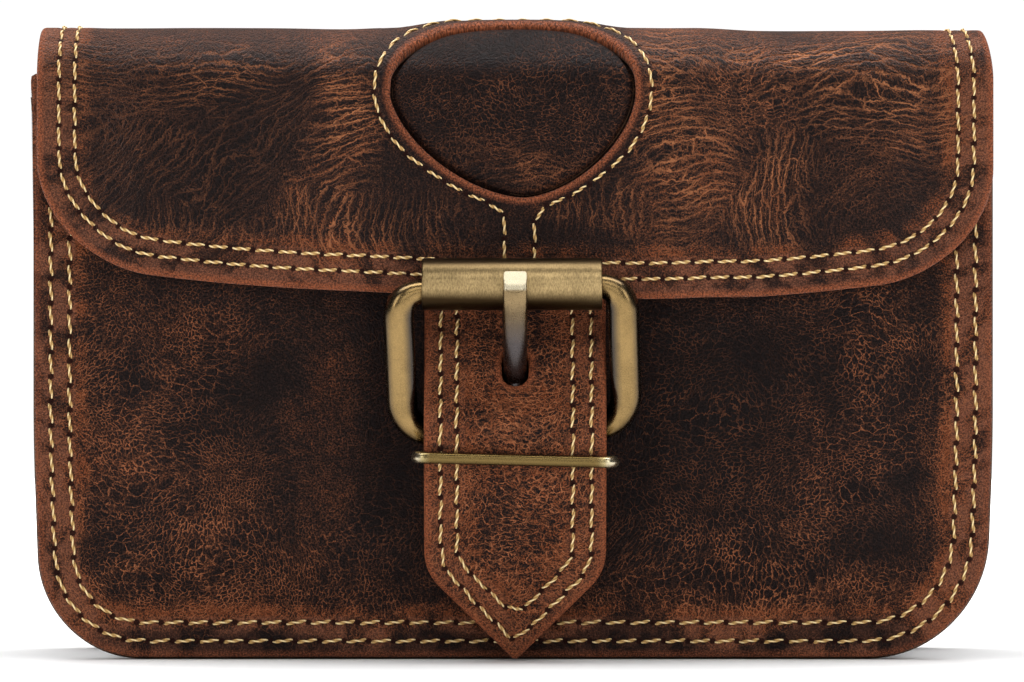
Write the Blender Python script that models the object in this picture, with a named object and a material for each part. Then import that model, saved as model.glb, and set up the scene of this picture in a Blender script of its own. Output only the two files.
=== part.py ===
"""Leather belt bag with a buckled flap, standing on its seams.

X runs across the bag, -Y is its front, +Z is up and the floor is Z = 0. The pieces are made with Y = 0
in the middle of the body, and then moved together so that the origin lies under the middle of the whole,
buckle and belt loops too. Sizes are in millimetres, and MM turns them into Blender's metres.
"""

import math

import bmesh
import bpy
import numpy as np
from mathutils import Matrix, Vector

MM = 0.001
CLEARANCE = 0.3  # gap between pieces that touch on the real bag

# Body
BODY_WIDTH = 168.6  # across the seams' outer edges, near the floor
BODY_HEIGHT = 112.6  # floor to the top of the fold, beside the window
BODY_DEPTH = 40.0  # front panel's seam to the back, over both outer faces
MOUTH_DROP = 9.1  # from the top of the fold to the front panel's top edge
GUSSET_DROP = 3.5  # from there to the gusset's ends
PANEL_LEATHER = 2.0
FLAP_LEATHER = 2.4
GUSSET_LEATHER = 1.5
SEAM_WIDTH = 7.5  # flat band that holds the two rows of stitches
EDGE_STEP = 0.4  # how far the front panel's edge lies inside the gusset's
GUSSET_BEND = 3.0
INNER_CORNER = 9.5  # radius of the gusset's wall at the lower corners
WEB_INSET = SEAM_WIDTH + GUSSET_BEND
CORNER_RADIUS = WEB_INSET + INNER_CORNER
FRONT_CORNER = 4.0  # radius of the front panel's upper corners
FRONT_BULGE = 3.5
BULGE_RUN = 14.0  # width over which the front swells from its seam
SIDE_FLARE = 1.0  # how much further out the front's sides stand higher up
FLARE_FOOT = 10.0
FLARE_RUN = 50.0
MOUTH_LEAN = 0.5  # how far the front's upper corners lean to the left
LEAN_RUN = 18.0
GUSSET_BOW = 1.6
GUSSET_PINCH = 5.0  # inward fold of the gusset at its mouth
PINCH_RUN = 45.0
MOUTH_DIP = 4.0

# Flap
BACK_FOLD = 9.0
FRONT_FOLD = 9.5
FLAP_DROP = 48.3  # from the top of the fold to the flap's lower edge at its middle
FLAP_BELLY = 6.5  # rise of that edge towards the sides
BELLY_POWER = 2.5
FLAP_CORNER_WIDTH = 20.0
FLAP_CORNER_HEIGHT = 17.5
FLAP_SKEW = 0.65  # how much lower the flap hangs on its right, and higher on its left
SKEW_RUN = 30.0
FLAP_FLARE = 0.5  # how much wider the flap is on each side than the fold
FOLD_DROP = 0.45  # how much lower the fold lies on its right
DROP_START = 32.0
DROP_RUN = 12.0
CROWN = 1.3  # rise of the fold over the window
CROWN_RUN = 11.0
FLAP_SHIFT = 0.35  # how far the flap lies to the right of the front
FOLD_PINCH = 1.2  # how much narrower the leather is along the fold
LIFT_MARGIN = 1.0  # how far the flap stays lifted beside the patch
LIFT_RUN = 26.0  # width over which it then settles

# Oval window in the flap and the patch behind it
WINDOW_HALF_WIDTH = 21.5
WINDOW_ABOVE = 12.0  # from the widest line up, along the leather
WINDOW_BELOW = 17.8
WINDOW_DROP = 12.1  # from the top of the fold to the widest line
WINDOW_SHIFT = -0.4
WINDOW_TILT = math.radians(1.9)  # its right end lies lower
PATCH_LEATHER = 1.4
PATCH_MARGIN = 4.0
PATCH_SUNK = 0.2  # how far the patch's face lies below the flap's
DOME_RUN = 3.2

# Tongue strap
STRAP_WIDTH = 32.0
STRAP_LEATHER = 2.8
STRAP_SHIFT = 0.35
STRAP_TIP = 0.6  # height of the point above the floor
STRAP_UNDER_FLAP = 8.0
TIP_WIDTH = 0.8
TIP_ANGLE = math.radians(46)  # of each side of the point, from level
TIP_SHOULDER = 9.4
STRAP_BEND_DROP = 4.5  # from the flap's edge to where the strap leans forward
STRAP_CREST = 0.75  # what the bend over the buckle's bar takes off the corner
STRAP_BEND = 9.0
TIP_STAND_OFF = 2.2  # from the front panel's seam to the point's back

# Buckle
BUCKLE_HEIGHT = 25.95  # between the middles of the lower bar and the roller
PIVOT_RADIUS = 2.0
FOLD_PLAY = 0.6  # room for the bar in the buckle strap's fold
TOP_BAR_RADIUS = 2.0
SIDE_BAR_RADIUS = 2.5
FRAME_WIDTH = 39.8  # between the middles of the side bars
FRAME_TOP_CORNER = 4.5
FRAME_LOW_CORNER = 6.5
FRAME_ROLL = math.radians(2.0)
ROLLER_RISE = 2.25  # how far the roller's middle lies above the flap's edge
ROLLER_RADIUS = 4.55
ROLLER_WALL = 1.0
ROLLER_LENGTH = 31.5
ROLLER_SHIFT = -0.2
BAR_DROP = 0.8  # how far the top bar lies below the roller's middle
BAR_BACK = 0.6  # and behind it
BUCKLE_STRAP_WIDTH = 28.0
BUCKLE_STRAP_LEATHER = 1.6
BUCKLE_STRAP_DROP = 20.6  # from the buckle's lower bar to its lower end
EYE_SLOT_PLAY = 0.9  # beside the prong's eye, in the buckle strap
PRONG_WIDTH = 4.3
PRONG_ROOT_WIDTH = 3.9
PRONG_THICKNESS = 3.0
PRONG_OVER = 2.15  # how far its tip stands above the roller's middle
EYE_WALL = 1.3
EYE_PLAY = 0.3
SLOT_WIDTH = 5.0
SLOT_LENGTH = 6.8
SLOT_RISE = 7.7  # of its lower end above the buckle's lower bar
SLOT_RIM = 1.5
PRONG_ABOVE_SLOT = 3.6  # from the slot's lower end to the prong's middle, along the strap

# Keeper
KEEPER_RADIUS = 0.9
KEEPER_CORNER = 2.2
KEEPER_ROLL = math.radians(-1.4)
KEEPER_REST = 5.4  # how far below the keeper the buckle strap's layers meet

# Belt loops
LOOP_WIDTH = 28.0
LOOP_LEATHER = 2.2
LOOP_HEIGHT = 70.0
LOOP_FOOT = 22.0
LOOP_TAB = 9.0
LOOP_RISE = 6.0
LOOP_GAP = 5.6  # room for the belt
LOOP_BEND = 3.3
LOOP_SPACING = 84.0

ARC_STEP = math.radians(15)
FINE_STEP = math.radians(3)

HALF_WIDTH = BODY_WIDTH / 2
FRONT_Y = -BODY_DEPTH / 2
BACK_Y = BODY_DEPTH / 2
FRONT_HEIGHT = BODY_HEIGHT - MOUTH_DROP
GUSSET_HEIGHT = FRONT_HEIGHT - GUSSET_DROP
FLAP_EDGE = BODY_HEIGHT - FLAP_DROP
WINDOW_HEIGHT = BODY_HEIGHT - WINDOW_DROP
ROLLER_HEIGHT = FLAP_EDGE + ROLLER_RISE
PIVOT_HEIGHT = ROLLER_HEIGHT - BUCKLE_HEIGHT
PRONG_TIP = ROLLER_HEIGHT + PRONG_OVER
SLOT_FOOT = PIVOT_HEIGHT + SLOT_RISE
BUCKLE_STRAP_FOOT = PIVOT_HEIGHT - BUCKLE_STRAP_DROP
FRONT_HALF = HALF_WIDTH - EDGE_STEP
FRONT_RADIUS = CORNER_RADIUS - EDGE_STEP
FRONT_FACE_Y = FRONT_Y - FRONT_BULGE  # outer face of the front where it is fully swollen
STRAP_STACK = STRAP_LEATHER + CLEARANCE  # what the strap adds under the flap
FLAP_FACE_Y = FRONT_FACE_Y - STRAP_STACK - CLEARANCE - FLAP_LEATHER  # flap's outer face over the strap
LIFT_HALF = max(STRAP_WIDTH / 2, WINDOW_HALF_WIDTH + PATCH_MARGIN) + LIFT_MARGIN
SHOULDER = HALF_WIDTH - SEAM_WIDTH - BULGE_RUN  # half of the width over which the front is fully swollen

ROLLER_Y = FLAP_FACE_Y - CLEARANCE - ROLLER_RADIUS
BUCKLE_STRAP_Y = FRONT_FACE_Y - CLEARANCE - BUCKLE_STRAP_LEATHER / 2  # middle of its back layer
FOLD_RADIUS = PIVOT_RADIUS + FOLD_PLAY + BUCKLE_STRAP_LEATHER / 2
PIVOT_Y = BUCKLE_STRAP_Y - FOLD_RADIUS
EYE_INNER = PIVOT_RADIUS + EYE_PLAY
EYE_OUTER = EYE_INNER + EYE_WALL
KEEPER_HEIGHT = PIVOT_HEIGHT - EYE_OUTER - KEEPER_RADIUS - CLEARANCE
EYE_WIDTH = PRONG_ROOT_WIDTH


def smooth(share):
    """0 below 0, 1 above 1, and a soft step between."""
    share = min(1.0, max(0.0, share))
    return share * share * (3 - 2 * share)


def rounded_line(corners, radii, closed=False, step=ARC_STEP):
    """Points of a line through the corners, where each corner is cut by an arc of its own radius."""
    corners = [Vector(c) for c in corners]
    points = []
    for i, corner in enumerate(corners):
        if not closed and i in (0, len(corners) - 1):
            points.append(corner)
            continue
        back = (corners[i - 1] - corner).normalized()
        on = (corners[(i + 1) % len(corners)] - corner).normalized()
        half_angle = back.angle(on) / 2
        centre = corner + (back + on).normalized() * (radii[i] / math.sin(half_angle))
        start = corner + back * (radii[i] / math.tan(half_angle)) - centre
        turn = math.copysign(math.pi - 2 * half_angle, on.x * back.y - on.y * back.x)
        steps = max(1, round(abs(turn) / step))
        for k in range(steps + 1):
            angle = math.atan2(start.y, start.x) + turn * k / steps
            points.append(centre + radii[i] * Vector((math.cos(angle), math.sin(angle))))
    return points


class Route:
    """A rounded line whose points can be read at any length along it."""

    def __init__(self, corners, radii):
        self.points = np.array(rounded_line(corners, radii, step=FINE_STEP))
        steps = np.linalg.norm(np.diff(self.points, axis=0), axis=1)
        self.lengths = np.concatenate([[0], np.cumsum(steps)])

    @property
    def length(self):
        return float(self.lengths[-1])

    def at(self, along):
        """The point at that length. Past either end the line runs straight on."""
        inside = min(max(along, 0.0), self.length)
        point = Vector([float(np.interp(inside, self.lengths, self.points[:, k])) for k in (0, 1)])
        return point + self.heading(along) * (along - inside)

    def heading(self, along):
        last = len(self.points) - 2
        i = int(np.clip(np.searchsorted(self.lengths, along, side="right") - 1, 0, last))
        return Vector(self.points[i + 1] - self.points[i]).normalized()

    def where(self, axis, value):
        """The first length at which one coordinate reaches a value."""
        row = self.points[:, axis] - value
        cross = int(np.argmax(np.sign(row[:-1]) != np.sign(row[1:])))
        share = row[cross] / (row[cross] - row[cross + 1])
        return float(self.lengths[cross] + share * (self.lengths[cross + 1] - self.lengths[cross]))


def spread(start, end, count):
    """Evenly spaced values, both ends included."""
    return [start + (end - start) * k / count for k in range(count + 1)]


def material(name, colour, roughness, metallic=0.0):
    made = bpy.data.materials.new(name)
    made.use_nodes = True
    shader = made.node_tree.nodes["Principled BSDF"]
    shader.inputs["Base Color"].default_value = (*colour, 1.0)
    shader.inputs["Roughness"].default_value = roughness
    shader.inputs["Metallic"].default_value = metallic
    return made


def add_object(name, mesh, finish, smooth_angle=math.radians(35)):
    mesh.shade_smooth()
    mesh.set_sharp_from_angle(angle=smooth_angle)
    mesh.materials.append(finish)
    obj = bpy.data.objects.new(name, mesh)
    bpy.context.scene.collection.objects.link(obj)
    return obj


def mesh_of(name, points, faces):
    """A mesh from points in millimetres."""
    mesh = bpy.data.meshes.new(name)
    mesh.from_pydata([Vector(p) * MM for p in points], [], faces)
    mesh.update()
    return mesh


class Grid:
    """Quads over columns and rows of a flat pattern, maybe with a hole, which `place` bends into space."""

    def __init__(self, pattern):
        self.flat = [[Vector(point) for point in column] for column in pattern]
        self.points = []
        self.index = {}
        self.faces = []

    def vertex(self, i, j):
        if (i, j) not in self.index:
            self.index[i, j] = self.add(self.flat[i][j])
        return self.index[i, j]

    def add(self, point):
        self.points.append(point)
        return len(self.points) - 1

    def fill(self, skip=lambda i, j: False):
        for i in range(len(self.flat) - 1):
            for j in range(len(self.flat[0]) - 1):
                if not skip(i, j):
                    corners = ((i, j), (i + 1, j), (i + 1, j + 1), (i, j + 1))
                    self.faces.append([self.vertex(*corner) for corner in corners])

    def ring_hole(self, block, edge, rings=2):
        """Rings of quads from a block of cells in to a hole, whose edge function gives a point there."""
        i0, i1, j0, j1 = block
        around = [(i, j0) for i in range(i0, i1)] + [(i1, j) for j in range(j0, j1)]
        around += [(i, j1) for i in range(i1, i0, -1)] + [(i0, j) for j in range(j1, j0, -1)]
        outer = [self.vertex(*corner) for corner in around]
        for k in range(1, rings + 1):
            inner = [self.add(self.flat[i][j].lerp(edge(self.flat[i][j]), k / rings)) for i, j in around]
            for n in range(len(around)):
                m = (n + 1) % len(around)
                self.faces.append([outer[n], outer[m], inner[m], inner[n]])
            outer = inner

    def object(self, name, place, thickness, offset, finish):
        """The bent sheet, thickened: offset -1 adds the leather behind the points, 0 on both sides."""
        obj = add_object(name, mesh_of(name, [place(p.x, p.y) for p in self.points], self.faces), finish)
        solid = obj.modifiers.new("Leather", "SOLIDIFY")
        solid.thickness = thickness * MM
        solid.offset = offset
        solid.use_even_offset = True
        return obj


def arc_columns(half, radius):
    """Columns across a round corner, from where it starts out to the edge."""
    steps = round(math.pi / 2 / ARC_STEP)
    return [half - radius + radius * math.sin(k * ARC_STEP) for k in range(steps + 1)]


def mirrored(columns):
    return sorted({round(-c, 6) for c in columns} | {round(c, 6) for c in columns})


def corner_rise(x, half, width, height):
    """How far a rounded end has curved up at x."""
    over = max(0.0, abs(x) - (half - width)) / width
    return height * (1 - math.sqrt(max(0.0, 1 - over * over)))


def front_swell(x, z):
    """How far the front panel stands forward of its seam."""
    side, low = FRONT_HALF - abs(x), z - EDGE_STEP
    distance = min(side, low)
    if side < FRONT_RADIUS and low < FRONT_RADIUS:
        distance = FRONT_RADIUS - math.hypot(FRONT_RADIUS - side, FRONT_RADIUS - low)
    return FRONT_BULGE * smooth((distance - SEAM_WIDTH) / BULGE_RUN)


def side_shift(share, z):
    """How far to the right a point of the front's seam stands. share runs from -1 to 1 across it."""
    flare = SIDE_FLARE * smooth((z - FLARE_FOOT) / FLARE_RUN)
    return flare * share - MOUTH_LEAN * smooth((z - FRONT_HEIGHT + LEAN_RUN) / LEAN_RUN)


def front_panel(finish):
    columns = mirrored([*spread(0, SHOULDER, 5), *arc_columns(FRONT_HALF, FRONT_RADIUS)])
    rows = [0.0, SEAM_WIDTH, *spread(SEAM_WIDTH, SEAM_WIDTH + BULGE_RUN, 4)[1:]]
    rows += spread(rows[-1], FRONT_HEIGHT - EDGE_STEP, 6)[1:]
    shares = [row / (FRONT_HEIGHT - EDGE_STEP) for row in rows]

    def column(x):
        low = EDGE_STEP + corner_rise(x, FRONT_HALF, FRONT_RADIUS, FRONT_RADIUS)
        high = FRONT_HEIGHT - corner_rise(x, FRONT_HALF, FRONT_CORNER, FRONT_CORNER)
        return [(x, low + (high - low) * share) for share in shares]

    def place(x, z):
        return x + side_shift(x / FRONT_HALF, z), FRONT_Y - front_swell(x, z), z

    grid = Grid([column(x) for x in columns])
    grid.fill()
    return grid.object("front_panel", place, PANEL_LEATHER, -1, finish)


def gusset(finish):
    """One strip round both sides and the bottom. It has a flange to each panel and a wall between them."""
    front = FRONT_Y + PANEL_LEATHER + CLEARANCE + GUSSET_LEATHER / 2
    back = BACK_Y - FLAP_LEATHER - CLEARANCE - GUSSET_LEATHER / 2
    corners = [(0, front), (WEB_INSET, front), (WEB_INSET, back), (0, back)]
    turns = rounded_line(corners, [0, GUSSET_BEND, GUSSET_BEND, 0], step=2 * ARC_STEP)
    middle = len(turns) // 2
    wall = [turns[middle - 1].lerp(turns[middle], k / 4) for k in (1, 2, 3)]
    section = turns[:middle] + wall + turns[middle:]
    outline = Route(
        [(-HALF_WIDTH, GUSSET_HEIGHT), (-HALF_WIDTH, 0), (HALF_WIDTH, 0), (HALF_WIDTH, GUSSET_HEIGHT)],
        [0, CORNER_RADIUS, CORNER_RADIUS, 0],
    )
    side = GUSSET_HEIGHT - CORNER_RADIUS
    arc = CORNER_RADIUS * math.pi / 2
    stations = [*spread(0, side, 7), *spread(side, side + arc, 6)[1:]]
    stations += spread(side + arc, outline.length / 2, 4)[1:]
    stations += [outline.length - s for s in reversed(stations[:-1])]

    def place(along, k):
        inset, depth = section[round(k)]
        edge, heading = outline.at(along), outline.heading(along)
        share = (depth - front) / (back - front)
        weight = math.sin(math.pi * share)
        mouth = smooth((edge.y - GUSSET_HEIGHT + PINCH_RUN) / PINCH_RUN)
        inset += weight * (GUSSET_PINCH * mouth - GUSSET_BOW * (1 - mouth))
        inward = Vector((-heading.y, heading.x))
        point = edge + inward * inset
        near_seam = max(0.0, 1 - inset / WEB_INSET) * (1 - share)
        shift = side_shift(math.copysign(1, edge.x), point.y) * near_seam
        return point.x + shift, depth, point.y - MOUTH_DIP * weight * mouth

    grid = Grid([[(along, k) for k in range(len(section))] for along in stations])
    grid.fill()
    return grid.object("gusset", place, GUSSET_LEATHER, 0, finish)


class FlapSheet:
    """The outer face of the one leather that is back, fold and flap, over its flat pattern (x, along)."""

    def __init__(self):
        flap_y = FRONT_Y - CLEARANCE - FLAP_LEATHER
        corners = [(BACK_Y, 0), (BACK_Y, BODY_HEIGHT), (flap_y, BODY_HEIGHT), (flap_y, 0)]
        self.route = Route(corners, [0, BACK_FOLD, FRONT_FOLD, 0])
        self.back_end = BODY_HEIGHT - BACK_FOLD
        self.top_start = self.back_end + BACK_FOLD * math.pi / 2
        self.top_end = self.top_start + (BACK_Y - flap_y) - BACK_FOLD - FRONT_FOLD
        self.flap_start = self.top_end + FRONT_FOLD * math.pi / 2

    def at_height(self, z):
        """Length along the pattern of a height on the flap's straight part."""
        return self.flap_start + BODY_HEIGHT - FRONT_FOLD - z

    def edge(self, x):
        """Where the flap's lower edge lies in the pattern."""
        rise = FLAP_BELLY * (abs(x) / HALF_WIDTH) ** BELLY_POWER
        rise += corner_rise(x, HALF_WIDTH, FLAP_CORNER_WIDTH, FLAP_CORNER_HEIGHT)
        skew = -FLAP_SKEW * math.copysign(smooth(abs(x) / SKEW_RUN), x)
        return self.at_height(FLAP_EDGE + rise + skew)

    def point(self, x, along):
        y, z = self.route.at(along)
        on_front = smooth((along - self.top_end) / (self.flap_start - self.top_end))
        past_back = smooth((along - self.back_end) / (self.top_start - self.back_end))
        bulge = FRONT_BULGE * smooth((HALF_WIDTH + SIDE_FLARE - abs(x) - SEAM_WIDTH) / BULGE_RUN)
        lift = STRAP_STACK * smooth((LIFT_HALF + LIFT_RUN - abs(x)) / LIFT_RUN)
        crown = CROWN * smooth((along - self.top_end + CROWN_RUN) / CROWN_RUN) * (1 - on_front)
        crown *= smooth((WINDOW_HALF_WIDTH - abs(x - WINDOW_SHIFT)) / CROWN_RUN)
        drop = FOLD_DROP * smooth((x - DROP_START) / DROP_RUN) * past_back
        widen = (FLAP_FLARE * on_front - FOLD_PINCH * past_back * (1 - on_front)) / HALF_WIDTH
        across = x * (1 + widen) + FLAP_SHIFT * on_front
        return Vector((across, y - (bulge + lift) * on_front, z + crown - drop))

    def below(self, x, along, depth):
        """A point at a depth under the outer face."""
        step = 0.05
        across = self.point(x + step, along) - self.point(x - step, along)
        down = self.point(x, along + step) - self.point(x, along - step)
        return self.point(x, along) + across.cross(down).normalized() * depth

    def window_centre(self):
        return Vector((WINDOW_SHIFT, self.at_height(WINDOW_HEIGHT)))


def oval_reach(direction, margin=0.0):
    """Distance from the window's centre to its edge in a direction of the pattern."""
    across = WINDOW_HALF_WIDTH + margin
    down = (WINDOW_BELOW if direction.y > 0 else WINDOW_ABOVE) + margin
    unit = Matrix.Rotation(WINDOW_TILT, 2) @ direction.normalized()
    return 1 / math.hypot(unit.x / across, unit.y / down)


def back_and_flap(sheet, finish):
    centre = sheet.window_centre()
    block_x = WINDOW_HALF_WIDTH + PATCH_MARGIN + abs(WINDOW_SHIFT)
    block_top = centre.y - WINDOW_ABOVE - PATCH_MARGIN
    block_low = centre.y + WINDOW_BELOW + PATCH_MARGIN
    middle = spread(0, block_x, 4)
    outer = spread(block_x, SHOULDER, 3)[1:] + arc_columns(HALF_WIDTH, CORNER_RADIUS)
    columns = mirrored([*middle, *outer])
    straight = spread(0, 1, 6)
    folds = spread(sheet.back_end, sheet.top_start, 5)[1:] + spread(sheet.top_start, sheet.top_end, 2)[1:]
    folds += spread(sheet.top_end, block_top, 1)[1:] + spread(block_top, sheet.flap_start, 5)[1:]
    flap_length = sheet.edge(0) - sheet.flap_start
    flap_rows = spread(sheet.flap_start, block_low, 5)[1:] + spread(block_low, sheet.edge(0), 3)[1:]
    flap_shares = [(row - sheet.flap_start) / flap_length for row in flap_rows]

    def column(x):
        low = corner_rise(x, HALF_WIDTH, CORNER_RADIUS, CORNER_RADIUS)
        rows = [low + (sheet.back_end - low) * share for share in straight] + folds
        rows += [sheet.flap_start + (sheet.edge(x) - sheet.flap_start) * share for share in flap_shares]
        return [(x, along) for along in rows]

    grid = Grid([column(x) for x in columns])
    i0, i1 = columns.index(round(-block_x, 6)), columns.index(round(block_x, 6))
    first_front = len(straight) + folds.index(block_top)
    block = (i0, i1, first_front, first_front + 10)
    grid.fill(lambda i, j: block[0] <= i < block[1] and block[2] <= j < block[3])

    def window_edge(point):
        direction = point - centre
        return centre + direction.normalized() * oval_reach(direction)

    grid.ring_hole(block, window_edge)
    return grid.object("back_and_flap", sheet.point, FLAP_LEATHER, 1, finish)


def oval_patch(sheet, finish):
    """A thin leather domed up into the window, with a flat margin under the flap."""
    centre = sheet.window_centre()
    sides, under = 32, FLAP_LEATHER + CLEARANCE
    insets = [-PATCH_MARGIN, 0.0, DOME_RUN / 3, DOME_RUN * 2 / 3, DOME_RUN]
    shares = (0.6, 0.3)
    points, depths = [], []
    for inset in [*insets, *shares]:
        for k in range(sides):
            angle = 2 * math.pi * k / sides
            direction = Vector((math.cos(angle), math.sin(angle)))
            reach = oval_reach(direction, -inset) if inset in insets else oval_reach(direction) * inset
            points.append(centre + direction * reach)
            rise = smooth(inset / DOME_RUN) if inset in insets else 1.0
            depths.append(under - (under - PATCH_SUNK) * rise)
    points.append(centre)
    depths.append(PATCH_SUNK)
    rings = len(insets) + len(shares)
    faces = []
    for r in range(rings - 1):
        for k in range(sides):
            m = (k + 1) % sides
            faces.append([r * sides + k, r * sides + m, (r + 1) * sides + m, (r + 1) * sides + k])
    last = (rings - 1) * sides
    faces += [[last + k, last + (k + 1) % sides, len(points) - 1] for k in range(sides)]
    placed = [sheet.below(p.x, p.y, depth) for p, depth in zip(points, depths)]
    obj = add_object("oval_patch", mesh_of("oval_patch", placed, faces), finish)
    solid = obj.modifiers.new("Leather", "SOLIDIFY")
    solid.thickness = PATCH_LEATHER * MM
    solid.offset = 1
    return obj


def strap_route():
    """Middle of the tongue strap in the side view, (y, z), from under the flap to its point."""
    top_y = FRONT_FACE_Y - CLEARANCE - STRAP_LEATHER / 2
    top_z = WINDOW_HEIGHT - WINDOW_BELOW - PATCH_MARGIN - CLEARANCE
    crest_y = PIVOT_Y - FOLD_RADIUS - BUCKLE_STRAP_LEATHER / 2 - CLEARANCE - STRAP_LEATHER / 2 - STRAP_CREST
    foot_y = buckle_strap_front() - BUCKLE_STRAP_LEATHER / 2 - CLEARANCE - STRAP_LEATHER / 2
    tip_y = FRONT_Y - TIP_STAND_OFF - STRAP_LEATHER / 2
    corners = [
        (top_y, min(top_z, FLAP_EDGE + STRAP_UNDER_FLAP)),
        (top_y, FLAP_EDGE - STRAP_BEND_DROP),
        (crest_y, PIVOT_HEIGHT),
        (foot_y - CLEARANCE, BUCKLE_STRAP_FOOT),
        (tip_y, STRAP_TIP),
    ]
    return Route(corners, [0, STRAP_BEND, STRAP_BEND, STRAP_BEND, 0])


def strap_shoulder():
    """Distance from the strap's point at which it reaches its full width."""
    point = (STRAP_WIDTH - TIP_WIDTH) / 2 * math.tan(TIP_ANGLE)
    return point + TIP_SHOULDER * math.tan((math.pi / 2 - TIP_ANGLE) / 2)


def strap_half(to_tip):
    """Half the strap's width at a distance from its point."""
    below = strap_shoulder() - to_tip
    if below <= 0:
        return STRAP_WIDTH / 2
    if below <= TIP_SHOULDER * math.cos(TIP_ANGLE):
        return STRAP_WIDTH / 2 - TIP_SHOULDER + math.sqrt(TIP_SHOULDER**2 - below**2)
    return TIP_WIDTH / 2 + to_tip / math.tan(TIP_ANGLE)


def tongue_strap(route, finish):
    slot_low = route.where(1, SLOT_FOOT)
    slot_middle = Vector((0, slot_low - SLOT_LENGTH / 2))
    block_top, block_low = slot_low - SLOT_LENGTH - SLOT_RIM, slot_low + SLOT_RIM
    shoulder = route.length - strap_shoulder()
    rows = spread(0, block_top, 6) + spread(block_top, block_low, 4)[1:]
    rows += spread(block_low, shoulder, 10)[1:] + spread(shoulder, route.length, 8)[1:]
    shares = [-1.0, -0.6, -0.24, 0.0, 0.24, 0.6, 1.0]
    grid = Grid([[(share * strap_half(route.length - row), row) for row in rows] for share in shares])
    block = (2, 4, rows.index(block_top), rows.index(block_low))
    grid.fill(lambda i, j: block[0] <= i < block[1] and block[2] <= j < block[3])

    def slot_edge(point):
        direction = (point - slot_middle).normalized()
        radius, run = SLOT_WIDTH / 2, SLOT_LENGTH / 2 - SLOT_WIDTH / 2
        flank = radius / max(abs(direction.x), 1e-6)
        if abs(direction.y) * flank <= run:
            return slot_middle + direction * flank
        along = abs(direction.y) * run
        return slot_middle + direction * (along + math.sqrt(along**2 - run**2 + radius**2))

    grid.ring_hole(block, slot_edge, rings=1)

    def place(x, along):
        y, z = route.at(along)
        return x + STRAP_SHIFT, y, z

    return grid.object("tongue_strap", place, STRAP_LEATHER, 0, finish)


def buckle_strap_front():
    """Middle of the buckle strap's front layer where it lies on the back one."""
    return BUCKLE_STRAP_Y - BUCKLE_STRAP_LEATHER - CLEARANCE


def buckle_strap(finish):
    """A strap folded over the buckle's lower bar, slotted for the prong's eye."""
    fold_y, front_y = PIVOT_Y - FOLD_RADIUS, buckle_strap_front()
    fold_z = FOLD_RADIUS
    foot = BUCKLE_STRAP_FOOT - PIVOT_HEIGHT
    rest_z = KEEPER_HEIGHT - PIVOT_HEIGHT - KEEPER_REST
    corners = [(BUCKLE_STRAP_Y, foot), (BUCKLE_STRAP_Y, fold_z), (fold_y, fold_z)]
    corners += [(fold_y, -PIVOT_RADIUS / 2), (front_y, rest_z), (front_y, foot)]
    radii = [0, FOLD_RADIUS, FOLD_RADIUS, PIVOT_RADIUS, PIVOT_RADIUS, 0]
    line = rounded_line([(y - PIVOT_Y, z) for y, z in corners], radii)
    slot_half = EYE_WIDTH / 2 + EYE_SLOT_PLAY
    slot_end = -(EYE_OUTER + CLEARANCE)
    rows = [line[0], Vector((line[0].x, slot_end)), *line[1:]]
    front_side = [k for k in range(len(rows) - 1) if rows[k].x < 0 and rows[k].y >= slot_end > rows[k + 1].y]
    cut = front_side[0]
    share = (rows[cut].y - slot_end) / (rows[cut].y - rows[cut + 1].y)
    rows.insert(cut + 1, rows[cut].lerp(rows[cut + 1], share))
    half = BUCKLE_STRAP_WIDTH / 2
    columns = [-half, -half / 2, -slot_half, slot_half, half / 2, half]
    grid = Grid([[(x, k) for k in range(len(rows))] for x in columns])
    grid.fill(lambda i, j: i == 2 and 1 <= j <= cut)
    obj = grid.object("buckle_strap", lambda x, k: (x, *rows[round(k)]), BUCKLE_STRAP_LEATHER, 0, finish)
    return on_pivot(obj, FRAME_ROLL)


def on_pivot(obj, roll, tilt=0.0):
    """Places what was made round the buckle's lower bar: leaned forward, then turned in the front view."""
    turn = Matrix.Rotation(-roll, 4, "Y") @ Matrix.Rotation(tilt, 4, "X")
    obj.matrix_world = Matrix.Translation(Vector((STRAP_SHIFT, PIVOT_Y, PIVOT_HEIGHT)) * MM) @ turn
    return obj


def wire(name, points, radii, finish, sides=3):
    """A closed round wire along points in millimetres."""
    curve = bpy.data.curves.new(name, "CURVE")
    curve.dimensions = "3D"
    curve.bevel_depth = MM
    curve.bevel_resolution = sides
    spline = curve.splines.new("POLY")
    spline.points.add(len(points) - 1)
    for target, point, radius in zip(spline.points, points, radii):
        target.co = (*(Vector(point) * MM), 1.0)
        target.radius = radius
    spline.use_cyclic_u = True
    curve.materials.append(finish)
    obj = bpy.data.objects.new(name, curve)
    bpy.context.scene.collection.objects.link(obj)
    return obj


def buckle_frame(finish):
    top_y, top_z = ROLLER_Y + BAR_BACK, ROLLER_HEIGHT - BAR_DROP
    rise, lean = top_z - PIVOT_HEIGHT, PIVOT_Y - top_y
    length, half = math.hypot(rise, lean), FRAME_WIDTH / 2
    corners = [(-half, 0), (half, 0), (half, length), (-half, length)]
    line = rounded_line(corners, [FRAME_LOW_CORNER] * 2 + [FRAME_TOP_CORNER] * 2, closed=True)

    def radius(point):
        bar = PIVOT_RADIUS if point.y < length / 2 else TOP_BAR_RADIUS
        corner = FRAME_LOW_CORNER if point.y < length / 2 else FRAME_TOP_CORNER
        return bar + (SIDE_BAR_RADIUS - bar) * smooth((abs(point.x) - half + corner) / corner)

    points = [(p.x, 0, p.y) for p in line]
    obj = wire("buckle_frame", points, [radius(p) for p in line], finish)
    return on_pivot(obj, FRAME_ROLL, math.atan2(lean, rise))


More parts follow.
